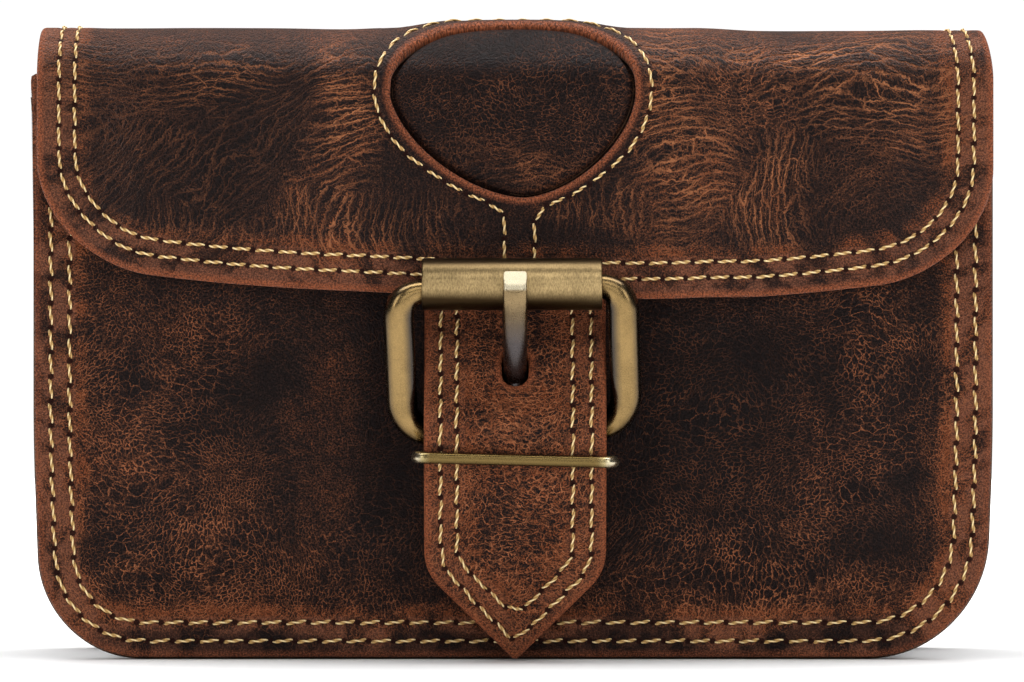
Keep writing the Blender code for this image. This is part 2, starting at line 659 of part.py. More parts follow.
def buckle_roller(finish):
    """A plain tube round the frame's top bar."""
    half, inner, sides = ROLLER_LENGTH / 2, ROLLER_RADIUS - ROLLER_WALL, 28
    section = [(half, inner), (half, ROLLER_RADIUS), (-half, ROLLER_RADIUS), (-half, inner)]
    points = []
    for k in range(sides):
        angle = 2 * math.pi * k / sides
        points += [(x, r * math.cos(angle), r * math.sin(angle)) for x, r in section]
    count = len(section)
    faces = []
    for k in range(sides):
        m = (k + 1) % sides
        for n in range(count):
            o = (n + 1) % count
            faces.append([k * count + n, k * count + o, m * count + o, m * count + n])
    obj = add_object("buckle_roller", mesh_of("buckle_roller", points, faces), finish)
    obj.location = Vector((ROLLER_SHIFT, ROLLER_Y, ROLLER_HEIGHT)) * MM
    return obj


def prong_line(strap):
    """Middle of the prong in the side view, (y, z), from its eye through the slot and over the roller."""
    along = strap.where(1, SLOT_FOOT) - PRONG_ABOVE_SLOT
    through = strap.at(along)
    reach = ROLLER_RADIUS + CLEARANCE + PRONG_THICKNESS / 2
    roller = Vector((ROLLER_Y, ROLLER_HEIGHT))
    to_roller = roller - through
    lean = math.atan2(-to_roller.x, to_roller.y) + math.asin(reach / to_roller.length)
    front_y = ROLLER_Y - reach
    bend_z = through.y + (through.x - front_y) / math.tan(lean)
    start = (PIVOT_Y, PIVOT_HEIGHT + (EYE_INNER + EYE_OUTER) / 2)
    root_z = through.y - (PIVOT_Y - through.x) / math.tan(lean)
    corners = [start, (PIVOT_Y, root_z), (front_y, bend_z), (front_y, PRONG_TIP)]
    return Route(corners, [0, PRONG_THICKNESS, reach, 0])


def buckle_prong(strap, finish):
    route = prong_line(strap)
    sides, rows = 12, 16
    points = []
    for row in range(rows + 1):
        share = row / rows
        middle, heading = route.at(route.length * share), route.heading(route.length * share)
        across = Vector((-heading.y, heading.x))
        half = (PRONG_ROOT_WIDTH + (PRONG_WIDTH - PRONG_ROOT_WIDTH) * share) / 2
        for k in range(sides):
            angle = 2 * math.pi * (k + 0.5) / sides
            out = across * math.sin(angle) * PRONG_THICKNESS / 2
            points.append((half * math.cos(angle), *(middle + out)))
    faces = [list(range(sides))[::-1], [rows * sides + k for k in range(sides)]]
    for row in range(rows):
        for k in range(sides):
            m = (k + 1) % sides
            faces.append([row * sides + k, row * sides + m, (row + 1) * sides + m, (row + 1) * sides + k])
    placed = [(x + STRAP_SHIFT, y, z) for x, y, z in points]
    mesh = mesh_of("buckle_prong", placed, faces)
    prong = add_object("buckle_prong", outward(mesh), finish)
    eye = prong_eye(finish)
    for obj, operation in ((eye, "UNION"), (eye_bore(finish), "DIFFERENCE")):
        joint = prong.modifiers.new(operation.title(), "BOOLEAN")
        joint.operation = operation
        joint.object = obj
    return prong


def outward(mesh):
    """The same mesh with every face turned to look out."""
    work = bmesh.new()
    work.from_mesh(mesh)
    bmesh.ops.recalc_face_normals(work, faces=work.faces)
    work.to_mesh(mesh)
    work.free()
    return mesh


def pivot_cylinder(name, radius, width, finish):
    """A helper cylinder along the buckle's lower bar, which isn't a piece itself."""
    work = bmesh.new()
    turn = Matrix.Rotation(math.pi / 2, 4, "Y")
    size = {"radius1": radius * MM, "radius2": radius * MM, "depth": width * MM}
    bmesh.ops.create_cone(work, cap_ends=True, segments=24, matrix=turn, **size)
    mesh = bpy.data.meshes.new(name)
    work.to_mesh(mesh)
    work.free()
    obj = add_object(name, mesh, finish)
    obj.location = Vector((STRAP_SHIFT, PIVOT_Y, PIVOT_HEIGHT)) * MM
    obj.hide_render = True
    obj.display_type = "WIRE"
    return obj


def prong_eye(finish):
    return pivot_cylinder("prong_eye_outside", EYE_OUTER, EYE_WIDTH, finish)


def eye_bore(finish):
    return pivot_cylinder("prong_eye_bore", EYE_INNER, 2 * EYE_WIDTH, finish)


def keeper_loop(strap, finish):
    """A wire loop round the tongue strap, its back run held in the buckle strap."""
    back_y = BUCKLE_STRAP_Y - BUCKLE_STRAP_LEATHER / 2 - CLEARANCE - KEEPER_RADIUS
    along = strap.where(1, KEEPER_HEIGHT + KEEPER_RADIUS)
    lean = abs(strap.heading(along).y)
    front_y = strap.at(along).x - (STRAP_LEATHER / 2 + CLEARANCE + KEEPER_RADIUS) / lean
    half = STRAP_WIDTH / 2 + CLEARANCE + KEEPER_RADIUS
    corners = [(-half, front_y), (half, front_y), (half, back_y), (-half, back_y)]
    line = rounded_line(corners, [KEEPER_CORNER] * 4, closed=True, step=2 * ARC_STEP)
    middle_y = (front_y + back_y) / 2
    points = [(p.x, p.y - middle_y, 0) for p in line]
    obj = wire("keeper_loop", points, [KEEPER_RADIUS] * len(points), finish, sides=2)
    place = Matrix.Translation(Vector((STRAP_SHIFT, middle_y, KEEPER_HEIGHT)) * MM)
    obj.matrix_world = place @ Matrix.Rotation(-KEEPER_ROLL, 4, "Y")
    return obj


def belt_loop(name, x, finish):
    near = BACK_Y + CLEARANCE + LOOP_LEATHER / 2
    far = BACK_Y + LOOP_GAP + LOOP_LEATHER / 2
    top = LOOP_FOOT + LOOP_HEIGHT
    corners = [(near, top), (near, top - LOOP_TAB), (far, top - LOOP_TAB - LOOP_RISE)]
    corners += [(far, LOOP_FOOT + LOOP_TAB + LOOP_RISE), (near, LOOP_FOOT + LOOP_TAB), (near, LOOP_FOOT)]
    line = rounded_line(corners, [0] + [LOOP_BEND] * 4 + [0])
    half = LOOP_WIDTH / 2
    grid = Grid([[(side, k) for k in range(len(line))] for side in (half, 0, -half)])
    grid.fill()
    return grid.object(name, lambda side, k: (x + side, *line[round(k)]), LOOP_LEATHER, 0, finish)


def centre_on_origin():
    """Moves everything alike so that the origin lies under the middle of the box round all the pieces."""
    bpy.context.view_layer.update()
    seen = bpy.context.evaluated_depsgraph_get()
    points = []
    for obj in bpy.data.objects:
        if not obj.hide_render:
            shape = obj.evaluated_get(seen)
            points += [obj.matrix_world @ vertex.co for vertex in shape.to_mesh().vertices]
            shape.to_mesh_clear()
    middle = [(min(p[k] for p in points) + max(p[k] for p in points)) / 2 for k in (0, 1)]
    for obj in bpy.data.objects:
        obj.matrix_world = Matrix.Translation((-middle[0], -middle[1], 0)) @ obj.matrix_world


def main():
    for old in list(bpy.data.objects):
        bpy.data.objects.remove(old)
    brown = material("brown_leather", (0.075, 0.036, 0.022), 0.5)
    red_brown = material("strap_leather", (0.13, 0.05, 0.03), 0.5)
    dark = material("patch_leather", (0.035, 0.022, 0.018), 0.45)
    brass = material("aged_brass", (0.42, 0.32, 0.15), 0.35, 1.0)
    sheet = FlapSheet()
    strap = strap_route()
    front_panel(brown)
    gusset(brown)
    back_and_flap(sheet, brown)
    oval_patch(sheet, dark)
    tongue_strap(strap, red_brown)
    buckle_strap(red_brown)
    buckle_frame(brass)
    buckle_roller(brass)
    buckle_prong(strap, brass)
    keeper_loop(strap, brass)
    belt_loop("belt_loop_left", -LOOP_SPACING / 2, brown)
    belt_loop("belt_loop_right", LOOP_SPACING / 2, brown)
    centre_on_origin()


main()
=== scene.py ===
"""Looks of the leather belt bag: fine leather, stitches, brass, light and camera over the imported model."""

import math

import bpy
import numpy as np
from mathutils import Matrix, Vector
from mathutils.geometry import delaunay_2d_cdt


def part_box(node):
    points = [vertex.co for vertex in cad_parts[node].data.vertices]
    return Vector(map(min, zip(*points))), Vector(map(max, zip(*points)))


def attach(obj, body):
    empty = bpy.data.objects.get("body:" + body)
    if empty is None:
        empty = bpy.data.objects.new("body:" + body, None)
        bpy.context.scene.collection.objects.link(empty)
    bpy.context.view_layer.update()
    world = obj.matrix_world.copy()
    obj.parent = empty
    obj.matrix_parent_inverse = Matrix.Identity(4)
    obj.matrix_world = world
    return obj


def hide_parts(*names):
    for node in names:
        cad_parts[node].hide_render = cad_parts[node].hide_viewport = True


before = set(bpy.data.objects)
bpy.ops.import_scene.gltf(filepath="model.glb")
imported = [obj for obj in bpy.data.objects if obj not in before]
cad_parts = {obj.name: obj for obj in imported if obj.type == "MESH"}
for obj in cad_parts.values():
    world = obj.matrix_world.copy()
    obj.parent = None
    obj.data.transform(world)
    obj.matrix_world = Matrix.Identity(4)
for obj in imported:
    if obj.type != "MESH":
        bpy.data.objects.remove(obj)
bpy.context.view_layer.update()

MM = 0.001
CLEARANCE = 0.3

# Sizes of the solids, in millimetres, with Y = 0 in the middle of the body
BODY_WIDTH, BODY_HEIGHT, BODY_DEPTH = 168.6, 112.6, 40.0
FRONT_HEIGHT, GUSSET_HEIGHT = 104.1, 100.0
PANEL_LEATHER, FLAP_LEATHER, GUSSET_LEATHER = 2.0, 2.4, 1.5
SEAM_WIDTH, EDGE_STEP, GUSSET_BEND, CORNER_LEFT, CORNER_RIGHT, FRONT_CORNER = 7.5, 0.4, 3.0, 18.2, 21.3, 0.9
FRONT_BULGE, BULGE_RUN = 3.5, 14.0
SIDE_FLARE, FLARE_FOOT, FLARE_RUN, MOUTH_LEAN, LEAN_RUN = 1.15, 0.0, 45.0, 0.7, 12.0
GUSSET_BOW, GUSSET_PINCH, PINCH_RUN, MOUTH_DIP = 1.6, 5.0, 45.0, 4.0
BACK_FOLD, FRONT_FOLD, FLAP_EDGE = 9.0, 9.5, 64.3
FLAP_BELLY, BELLY_POWER, FLAP_CORNER_WIDTH, FLAP_CORNER_HEIGHT = 6.5, 2.5, 20.0, 17.5
FLAP_SKEW, SKEW_RUN, FLAP_FLARE, FLAP_SHIFT, PINCH_LEFT, PINCH_RIGHT = 0.65, 30.0, 0.5, 0.35, 0.1, 0.4
FOLD_DROP, DROP_START, DROP_RUN, CROWN, CROWN_RUN = 0.45, 32.0, 12.0, 1.3, 11.0
LIFT_MARGIN, LIFT_RUN = 1.0, 26.0
WINDOW_HALF_WIDTH, WINDOW_ABOVE, WINDOW_BELOW, WINDOW_HEIGHT = 21.5, 13.6, 18.7, 100.5
WINDOW_SHIFT, WINDOW_TILT, WINDOW_LEAN = -0.4, math.radians(1.9), 0.08
WINDOW_FULL_ABOVE, WINDOW_FULL_BELOW = 2.3, 1.65  # powers of the curve: 2 is an ellipse, less is more pointed
PATCH_LEATHER, PATCH_MARGIN, PATCH_SUNK, DOME_RUN = 1.4, 3.2, 0.3, 0.9
STRAP_WIDTH, STRAP_LEATHER, STRAP_SHIFT, STRAP_TIP, STRAP_UNDER_FLAP = 32.0, 2.8, 0.35, 0.6, 8.0
TIP_WIDTH, TIP_ANGLE, TIP_SHOULDER = 0.8, math.radians(46), 9.4
STRAP_BEND_DROP, STRAP_CREST, STRAP_BEND, TIP_STAND_OFF = 4.5, 0.75, 9.0, 2.2
PIVOT_RADIUS, FOLD_PLAY, PIVOT_HEIGHT = 2.0, 0.6, 40.6
TOP_BAR_RADIUS, SIDE_BAR_RADIUS, FRAME_WIDTH, FRAME_TOP_CORNER, FRAME_LOW_CORNER = 2.0, 2.6, 39.8, 4.5, 6.5
FRAME_ROLL, BAR_DROP, BAR_BACK = math.radians(2.0), 0.8, 0.6
ROLLER_HEIGHT, ROLLER_RADIUS, ROLLER_WALL, ROLLER_LENGTH, ROLLER_SHIFT = 66.55, 4.55, 1.0, 31.5, -0.2
BUCKLE_STRAP_WIDTH, BUCKLE_STRAP_LEATHER, BUCKLE_STRAP_FOOT, EYE_SLOT_PLAY = 28.0, 1.6, 20.0, 0.9
PRONG_WIDTH, PRONG_ROOT_WIDTH, PRONG_THICKNESS, PRONG_TIP = 4.3, 4.1, 3.0, 68.7
EYE_WALL, EYE_PLAY, SLOT_WIDTH, SLOT_LENGTH, SLOT_FOOT, PRONG_ABOVE_SLOT = 1.3, 0.3, 4.7, 6.8, 48.3, 3.6
KEEPER_RADIUS, KEEPER_CORNER, KEEPER_ROLL, KEEPER_REST = 0.9, 2.2, math.radians(-1.4), 5.4
LOOP_WIDTH, LOOP_LEATHER, LOOP_HEIGHT, LOOP_FOOT, LOOP_TAB, LOOP_RISE = 28.0, 2.2, 70.0, 22.0, 9.0, 6.0
LOOP_GAP, LOOP_BEND, LOOP_SPACING = 5.6, 3.3, 84.0

HALF_WIDTH = BODY_WIDTH / 2
FRONT_Y, BACK_Y = -BODY_DEPTH / 2, BODY_DEPTH / 2
FRONT_HALF = HALF_WIDTH - EDGE_STEP
WEB_INSET = SEAM_WIDTH + GUSSET_BEND
FRONT_FACE_Y = FRONT_Y - FRONT_BULGE
STRAP_STACK = STRAP_LEATHER + CLEARANCE
FLAP_FACE_Y = FRONT_FACE_Y - STRAP_STACK - CLEARANCE - FLAP_LEATHER
LIFT_HALF = max(STRAP_WIDTH / 2, WINDOW_HALF_WIDTH + PATCH_MARGIN) + LIFT_MARGIN
ROLLER_Y = FLAP_FACE_Y - CLEARANCE - ROLLER_RADIUS
BUCKLE_STRAP_Y = FRONT_FACE_Y - CLEARANCE - BUCKLE_STRAP_LEATHER / 2
BUCKLE_STRAP_FRONT = BUCKLE_STRAP_Y - BUCKLE_STRAP_LEATHER - CLEARANCE
FOLD_RADIUS = PIVOT_RADIUS + FOLD_PLAY + BUCKLE_STRAP_LEATHER / 2
PIVOT_Y = BUCKLE_STRAP_Y - FOLD_RADIUS
EYE_INNER = PIVOT_RADIUS + EYE_PLAY
EYE_OUTER = EYE_INNER + EYE_WALL
KEEPER_HEIGHT = PIVOT_HEIGHT - EYE_OUTER - KEEPER_RADIUS - CLEARANCE

# The solids were moved so that the origin lies under the middle of the whole.
loops_low, loops_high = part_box("belt_loop_right")
SHIFT = np.array([
    (loops_low.x + loops_high.x) / 2 / MM - LOOP_SPACING / 2,
    loops_high.y / MM - (BACK_Y + LOOP_GAP + LOOP_LEATHER),
    0.0,
])

SEEN_MM = 0.1776  # millimetres per pixel of the photograph, on the front panel
SEEN_MIDDLE, SEEN_FLOOR = 513.15, 659.6  # the bag's middle and foot in the photograph, in pixels
PITCH = 4.36  # from stitch to stitch


# Curves and sheets


def smooth(share):
    share = np.clip(share, 0, 1)
    return share * share * (3 - 2 * share)


def unit(vectors):
    return vectors / np.linalg.norm(vectors, axis=-1, keepdims=True)


def joined(*parts):
    """Coordinates side by side, in a last axis."""
    return np.stack(parts, -1)


def box_line(left, right, low, high):
    """The corners of a rectangle, anticlockwise from its lower left."""
    return [(left, low), (right, low), (right, high), (left, high)]


def rounded_line(corners, radii, closed=False, step=math.radians(3)):
    """Points of a line through the corners, where each corner is cut by an arc of its own radius."""
    corners = [Vector(c) for c in corners]
    points = []
    for i, corner in enumerate(corners):
        if not closed and i in (0, len(corners) - 1) or radii[i] == 0:
            points.append(corner)
            continue
        back = (corners[i - 1] - corner).normalized()
        on = (corners[(i + 1) % len(corners)] - corner).normalized()
        half_angle = back.angle(on) / 2
        centre = corner + (back + on).normalized() * (radii[i] / math.sin(half_angle))
        start = corner + back * (radii[i] / math.tan(half_angle)) - centre
        turn = math.copysign(math.pi - 2 * half_angle, on.x * back.y - on.y * back.x)
        steps = max(1, round(abs(turn) / step))
        for k in range(steps + 1):
            angle = math.atan2(start.y, start.x) + turn * k / steps
            points.append(centre + radii[i] * Vector((math.cos(angle), math.sin(angle))))
    return np.array([tuple(p) for p in points])


class Route:
    """A line whose points can be read at any length along it."""

    def __init__(self, points):
        self.points = np.asarray(points, float)
        steps = np.linalg.norm(np.diff(self.points, axis=0), axis=1)
        keep = np.concatenate([[True], steps > 1e-6])
        self.points = self.points[keep]
        self.lengths = np.concatenate([[0], np.cumsum(np.linalg.norm(np.diff(self.points, axis=0), axis=1))])
        self.length = float(self.lengths[-1])

    def at(self, along):
        along = np.asarray(along, float)
        inside = np.clip(along, 0, self.length)
        point = joined(*[np.interp(inside, self.lengths, self.points[:, k]) for k in (0, 1)])
        return point + self.heading(along) * (along - inside)[..., None]

    def heading(self, along):
        i = np.clip(np.searchsorted(self.lengths, along, side="right") - 1, 0, len(self.points) - 2)
        step = self.points[i + 1] - self.points[i]
        return unit(step)

    def where(self, axis, value):
        row = self.points[:, axis] - value
        cross = int(np.argmax(np.sign(row[:-1]) != np.sign(row[1:])))
        share = row[cross] / (row[cross] - row[cross + 1])
        return float(self.lengths[cross] + share * (self.lengths[cross + 1] - self.lengths[cross]))


def corner_rise(x, half, width, height):
    over = np.clip(np.abs(x) - (half - width), 0, width) / width
    return height * (1 - np.sqrt(np.maximum(0, 1 - over * over)))


def side_shift(share, z):
    flare = SIDE_FLARE * smooth((z - FLARE_FOOT) / FLARE_RUN)
    return flare * share - MOUTH_LEAN * smooth((z - FRONT_HEIGHT + LEAN_RUN) / LEAN_RUN)


def front_place(x, z):
    """Outer face of the front panel."""
    side, low = FRONT_HALF - np.abs(x), z - EDGE_STEP
    radius = np.where(x < 0, CORNER_LEFT, CORNER_RIGHT) - EDGE_STEP
    corner = (side < radius) & (low < radius)
    rounded = radius - np.hypot(radius - side, radius - low)
    distance = np.where(corner, rounded, np.minimum(side, low))
    swell = FRONT_BULGE * smooth((distance - SEAM_WIDTH) / BULGE_RUN)
    return joined(x + side_shift(x / FRONT_HALF, z), FRONT_Y - swell, z)


FLAP_Y = FRONT_Y - CLEARANCE - FLAP_LEATHER
FLAP_ROUTE = Route(rounded_line(
    [(BACK_Y, 0), (BACK_Y, BODY_HEIGHT), (FLAP_Y, BODY_HEIGHT), (FLAP_Y, 0)], [0, BACK_FOLD, FRONT_FOLD, 0]
))
BACK_END = BODY_HEIGHT - BACK_FOLD
TOP_START = BACK_END + BACK_FOLD * math.pi / 2
TOP_END = TOP_START + (BACK_Y - FLAP_Y) - BACK_FOLD - FRONT_FOLD
FLAP_START = TOP_END + FRONT_FOLD * math.pi / 2


def flap_at(z):
    """Length along the flap's pattern of a height on its front."""
    straight = BODY_HEIGHT - FRONT_FOLD
    turn = np.arcsin(np.clip((z - straight) / FRONT_FOLD, 0, 1))
    return FLAP_START + np.maximum(0.0, straight - z) - FRONT_FOLD * turn


def flap_edge(x):
    rise = FLAP_BELLY * (np.abs(x) / HALF_WIDTH) ** BELLY_POWER
    rise = rise + corner_rise(x, HALF_WIDTH, FLAP_CORNER_WIDTH, FLAP_CORNER_HEIGHT)
    return flap_at(FLAP_EDGE + rise - FLAP_SKEW * np.sign(x) * smooth(np.abs(x) / SKEW_RUN))


def flap_place(x, along):
    """Outer face of the leather that is back, fold and flap."""
    yz = FLAP_ROUTE.at(along)
    on_front = smooth((along - TOP_END) / (FLAP_START - TOP_END))
    past_back = smooth((along - BACK_END) / (TOP_START - BACK_END))
    bulge = FRONT_BULGE * smooth((HALF_WIDTH + SIDE_FLARE - np.abs(x) - SEAM_WIDTH) / BULGE_RUN)
    lift = STRAP_STACK * smooth((LIFT_HALF + LIFT_RUN - np.abs(x)) / LIFT_RUN)
    crown = CROWN * smooth((along - TOP_END + CROWN_RUN) / CROWN_RUN) * (1 - on_front)
    crown = crown * smooth((WINDOW_HALF_WIDTH - np.abs(x - WINDOW_SHIFT)) / CROWN_RUN)
    drop = FOLD_DROP * smooth((x - DROP_START) / DROP_RUN) * past_back
    pinch = np.where(x < 0, PINCH_LEFT, PINCH_RIGHT)
    widen = (FLAP_FLARE * on_front - pinch * past_back * (1 - on_front)) / HALF_WIDTH
    x = x * (1 + widen) + FLAP_SHIFT * on_front
    return joined(x, yz[..., 0] - (bulge + lift) * on_front, yz[..., 1] + crown - drop)


WINDOW = np.array([WINDOW_SHIFT, float(flap_at(WINDOW_HEIGHT))])


def oval_outline(margin=0.0, count=360):
    """The window's edge in the pattern, wider by a margin."""
    angle = np.linspace(0, 2 * math.pi, count, endpoint=False)
    across, down = np.cos(angle + WINDOW_TILT), np.sin(angle + WINDOW_TILT)
    below = down > 0
    across = across - np.where(below, WINDOW_LEAN * down, 0)
    power = np.where(below, WINDOW_FULL_BELOW, WINDOW_FULL_ABOVE)
    high = np.where(below, WINDOW_BELOW, WINDOW_ABOVE) + margin
    share = np.abs(across / (WINDOW_HALF_WIDTH + margin)) ** power + np.abs(down / high) ** power
    return WINDOW + joined(np.cos(angle), np.sin(angle)) / (share ** (1 / power))[:, None]


WINDOW_EDGE = oval_outline(count=160)


def strap_route():
    top_y = FRONT_FACE_Y - CLEARANCE - STRAP_LEATHER / 2
    top_z = min(WINDOW_HEIGHT - WINDOW_BELOW - PATCH_MARGIN - CLEARANCE, FLAP_EDGE + STRAP_UNDER_FLAP)
    crest_y = PIVOT_Y - FOLD_RADIUS - BUCKLE_STRAP_LEATHER / 2 - CLEARANCE - STRAP_LEATHER / 2 - STRAP_CREST
    foot_y = BUCKLE_STRAP_FRONT - BUCKLE_STRAP_LEATHER / 2 - CLEARANCE - STRAP_LEATHER / 2
    tip_y = FRONT_Y - TIP_STAND_OFF - STRAP_LEATHER / 2
    corners = [
        (top_y, top_z),
        (top_y, FLAP_EDGE - STRAP_BEND_DROP),
        (crest_y, PIVOT_HEIGHT),
        (foot_y - CLEARANCE, BUCKLE_STRAP_FOOT),
        (tip_y, STRAP_TIP),
    ]
    return Route(rounded_line(corners, [0, STRAP_BEND, STRAP_BEND, STRAP_BEND, 0]))


STRAP = strap_route()


def normals_of(place, u, w, step=0.05):
    """Directions square to a placed sheet, u across w."""
    across = place(u + step, w) - place(u - step, w)
    along = place(u, w + step) - place(u, w - step)
    return unit(np.cross(across, along))


def trough(half, low, high, left=CORNER_LEFT, right=CORNER_RIGHT):
    """Down the left side, across the foot and up the right side, with two round corners."""
    return rounded_line([(-half, high), (-half, low), (half, low), (half, high)], [0, left, right, 0])


def strip_place(route, shift, rise=0.0):
    """Where a strip's middle lies, along a route in the side view, or its face at a rise over it."""

    def place(x, along):
        yz = route.at(along)
        middle = joined(x + shift, yz[..., 0], yz[..., 1])
        if not rise:
            return middle
        heading = route.heading(along)
        return middle + joined(np.zeros(np.shape(x)), heading[..., 1], -heading[..., 0]) * rise

    return place


# Flat patterns


def neighbours(outline):
    """The steps from each point to the next, and to it from the one before."""
    return np.roll(outline, -1, axis=0) - outline, outline - np.roll(outline, 1, axis=0)


def resample(points, step, sharp=math.radians(25)):
    """Even points along a closed polygon, with its sharp corners kept."""
    points = np.asarray(points, float)
    points = points[np.linalg.norm(neighbours(points)[1], axis=1) > 1e-6]
    ahead, behind = neighbours(points)
    turn = np.abs(np.angle((ahead[:, 0] + 1j * ahead[:, 1]) / (behind[:, 0] + 1j * behind[:, 1])))
    corners = list(np.where(turn > sharp)[0]) or [0]
    chains = []
    for a, b in zip(corners, corners[1:] + [corners[0] + len(points)]):
        route = Route(points[np.arange(a, b + 1) % len(points)])
        count = max(1, round(route.length / step))
        chains.append(route.at(np.linspace(0, route.length, count + 1))[:-1])
    return np.concatenate(chains)


def round_box(left, right, low, high, radii, step):
    """Even points along a rectangle, with a radius for each corner."""
    return resample(rounded_line(box_line(left, right, low, high), radii, closed=True), step)


def left_of(steps):
    return joined(-steps[:, 1], steps[:, 0])


def inset(outline, distance):
    """The outline moved towards its inside, each point along its corner's middle line."""
    ahead, behind = [unit(steps) for steps in neighbours(outline)]
    inward = left_of(unit(ahead + behind))
    reach = np.maximum(0.3, (inward * left_of(ahead)).sum(1))
    return outline + inward * (np.reshape(distance, (-1, 1)) / reach[:, None])


BATCH = 4000  # points measured at a time


def nearest(points, line, closed):
    """Distance to a line, the length along it of the nearest place, and the side on which the point lies."""
    ends = np.roll(line, -1, axis=0) if closed else line[1:]
    starts = line if closed else line[:-1]
    run = ends - starts
    size = np.linalg.norm(run, axis=1)
    lengths = np.concatenate([[0], np.cumsum(size)])[:-1]
    out = [np.empty(len(points)) for _ in range(3)]
    for first in range(0, len(points), BATCH):
        part = slice(first, first + BATCH)
        rel = points[part, None] - starts
        share = np.clip((rel * run).sum(-1) / (size * size), 0, 1)
        off = rel - share[..., None] * run
        gap = np.hypot(off[..., 0], off[..., 1])
        best = gap.argmin(1)
        rows = np.arange(len(rel))
        out[0][part] = gap[rows, best]
        out[1][part] = lengths[best] + share[rows, best] * size[best]
        out[2][part] = np.sign(run[best, 0] * rel[rows, best, 1] - run[best, 1] * rel[rows, best, 0])
    return out


# How far in from the edge each ring of points lies
RING_STEPS = (0.0, 0.09, 0.3, 0.6, 0.95, 1.5, 2.2, 2.9, 3.6, 4.3, 5.1, 5.9, 6.7, 7.6, 8.7)


def triangulate(outlines, steps, spacing):
    """Points, distances from the edge and triangles that fill the first outline outside the others.
    Rings follow the edges, and an even field fills the rest."""
    points, distance, edges = list(outlines), [np.zeros(len(outline)) for outline in outlines], []
    for outline in outlines:
        start, count = len(edges), len(outline)
        edges += [(start + k, start + (k + 1) % count) for k in range(count)]
    for outline in outlines:
        for step in steps[1:]:
            ring = inset(outline, step)
            gap = np.min([nearest(ring, other, True)[0] for other in outlines], axis=0)
            ring = ring[gap > step * 0.97]
            points.append(ring)
            distance.append(np.full(len(ring), step))
    low, high = outlines[0].min(0), outlines[0].max(0)
    field = []
    for k, y in enumerate(np.arange(low[1], high[1], spacing * math.sqrt(3) / 2)):
        across = np.arange(low[0] + (k % 2) * spacing / 2, high[0], spacing)
        field.append(joined(across, np.full_like(across, y)))
    field = np.concatenate(field)
    found = [nearest(field, other, True) for other in outlines]
    inside = np.all([f[2] > 0 for f in found], axis=0)
    gap = np.min([f[0] for f in found], axis=0)
    keep = inside & (gap > steps[-1] + spacing * 0.55)
    flat = np.concatenate([*points, field[keep]])
    made = delaunay_2d_cdt([Vector(p) for p in flat], edges, [], 0, 1e-7, True)
    owner = np.array([ids[0] if ids else -1 for ids in made[3]])
    triangles = owner[np.array([list(f) for f in made[2]])]
    middles = flat[triangles].mean(1)
    filled = np.logical_xor.reduce([crossings(middles, outline) for outline in outlines])
    return flat, np.concatenate([*distance, gap[keep]]), triangles[filled]


def crossings(points, outline):
    """Whether each point lies inside an outline."""
    inside = np.zeros(len(points), bool)
    for a, b in zip(outline, np.roll(outline, -1, axis=0)):
        between = (a[1] > points[:, 1]) != (b[1] > points[:, 1])
        if a[1] != b[1]:
            inside ^= between & (points[:, 0] < (b[0] - a[0]) * (points[:, 1] - a[1]) / (b[1] - a[1]) + a[0])
    return inside


def wobble(x, y, seed, count=7):
    """A soft wandering height between about -1 and 1, over lengths of about one unit."""
    rng = np.random.default_rng(seed)
    angle, phase = rng.uniform(0, math.pi, count), rng.uniform(0, 2 * math.pi, count)
    size = rng.uniform(3.5, 9.0, count)
    waves = [np.sin(s * (x * math.cos(a) + y * math.sin(a)) + p) for a, p, s in zip(angle, phase, size)]
    return sum(waves) / math.sqrt(count)


class Row:
    """One row of stitches on a flat pattern."""

    def __init__(self, points, lane, closed=False, pitch=PITCH, start=0.0):
        points = np.asarray(points, float)
        path = Route(np.concatenate([points, points[:1]]) if closed else points)
        self.line = path.at(np.linspace(0, path.length, max(2, int(path.length / 0.8)), endpoint=not closed))
        self.closed, self.lane, self.route = closed, lane, path
        self.count = round(path.length / pitch) if closed else int((path.length - start) / pitch)
        self.pitch = path.length / self.count if closed else pitch
        self.start = start


def stitch_fields(points, rows):
    """For each lane: the place along its nearest row in stitches, the distance from it, and if it is near."""
    lanes = []
    for lane in (0, 1):
        best = np.full(len(points), 1e9)
        field = np.zeros((len(points), 3))
        for row in [r for r in rows if r.lane == lane]:
            gap, along, side = nearest(points, row.line, row.closed)
            closer = gap < best
            best = np.where(closer, gap, best)
            value = joined((along - row.start) / row.pitch, gap * side, gap < 1.5)
            field[closer] = value[closer]
        lanes.append(field)
    return lanes


GROOVE_DEPTH, GROOVE_HALF, HOLE_DEPTH, HOLE_HALF = 0.16, 0.6, 0.3, 0.55  # what thread presses into leather


def relief_of(points, distance, lanes, lump, seed):
    """Height of the outer face over the plain sheet: soft lumps, stitch grooves and the dimples of holes."""
    u, w = points[:, 0], points[:, 1]
    height = lump * (0.5 + 0.5 * wobble(u / 60, w / 60, seed)) * smooth((distance - 7) / 6)
    height += 0.35 * lump * wobble(u / 22, w / 22, seed + 1) * smooth((distance - 8) / 6)
    for along, across, near in [field.T for field in lanes]:
        hole = (along - np.round(along)) * PITCH
        groove = -GROOVE_DEPTH * np.exp(-((across / GROOVE_HALF) ** 2))
        dimple = -HOLE_DEPTH * np.exp(-(hole**2 + across**2) / HOLE_HALF**2)
        height += np.where(near > 0, groove + dimple, 0)
    return height


EDGE_ROUND = 0.85  # radius of the leather's edges, where its thickness allows it
UNDER_RINGS, UNDER_SPACING = (0.35, 1.2), 2.6  # on the inner face: rings in edge radii, and the field


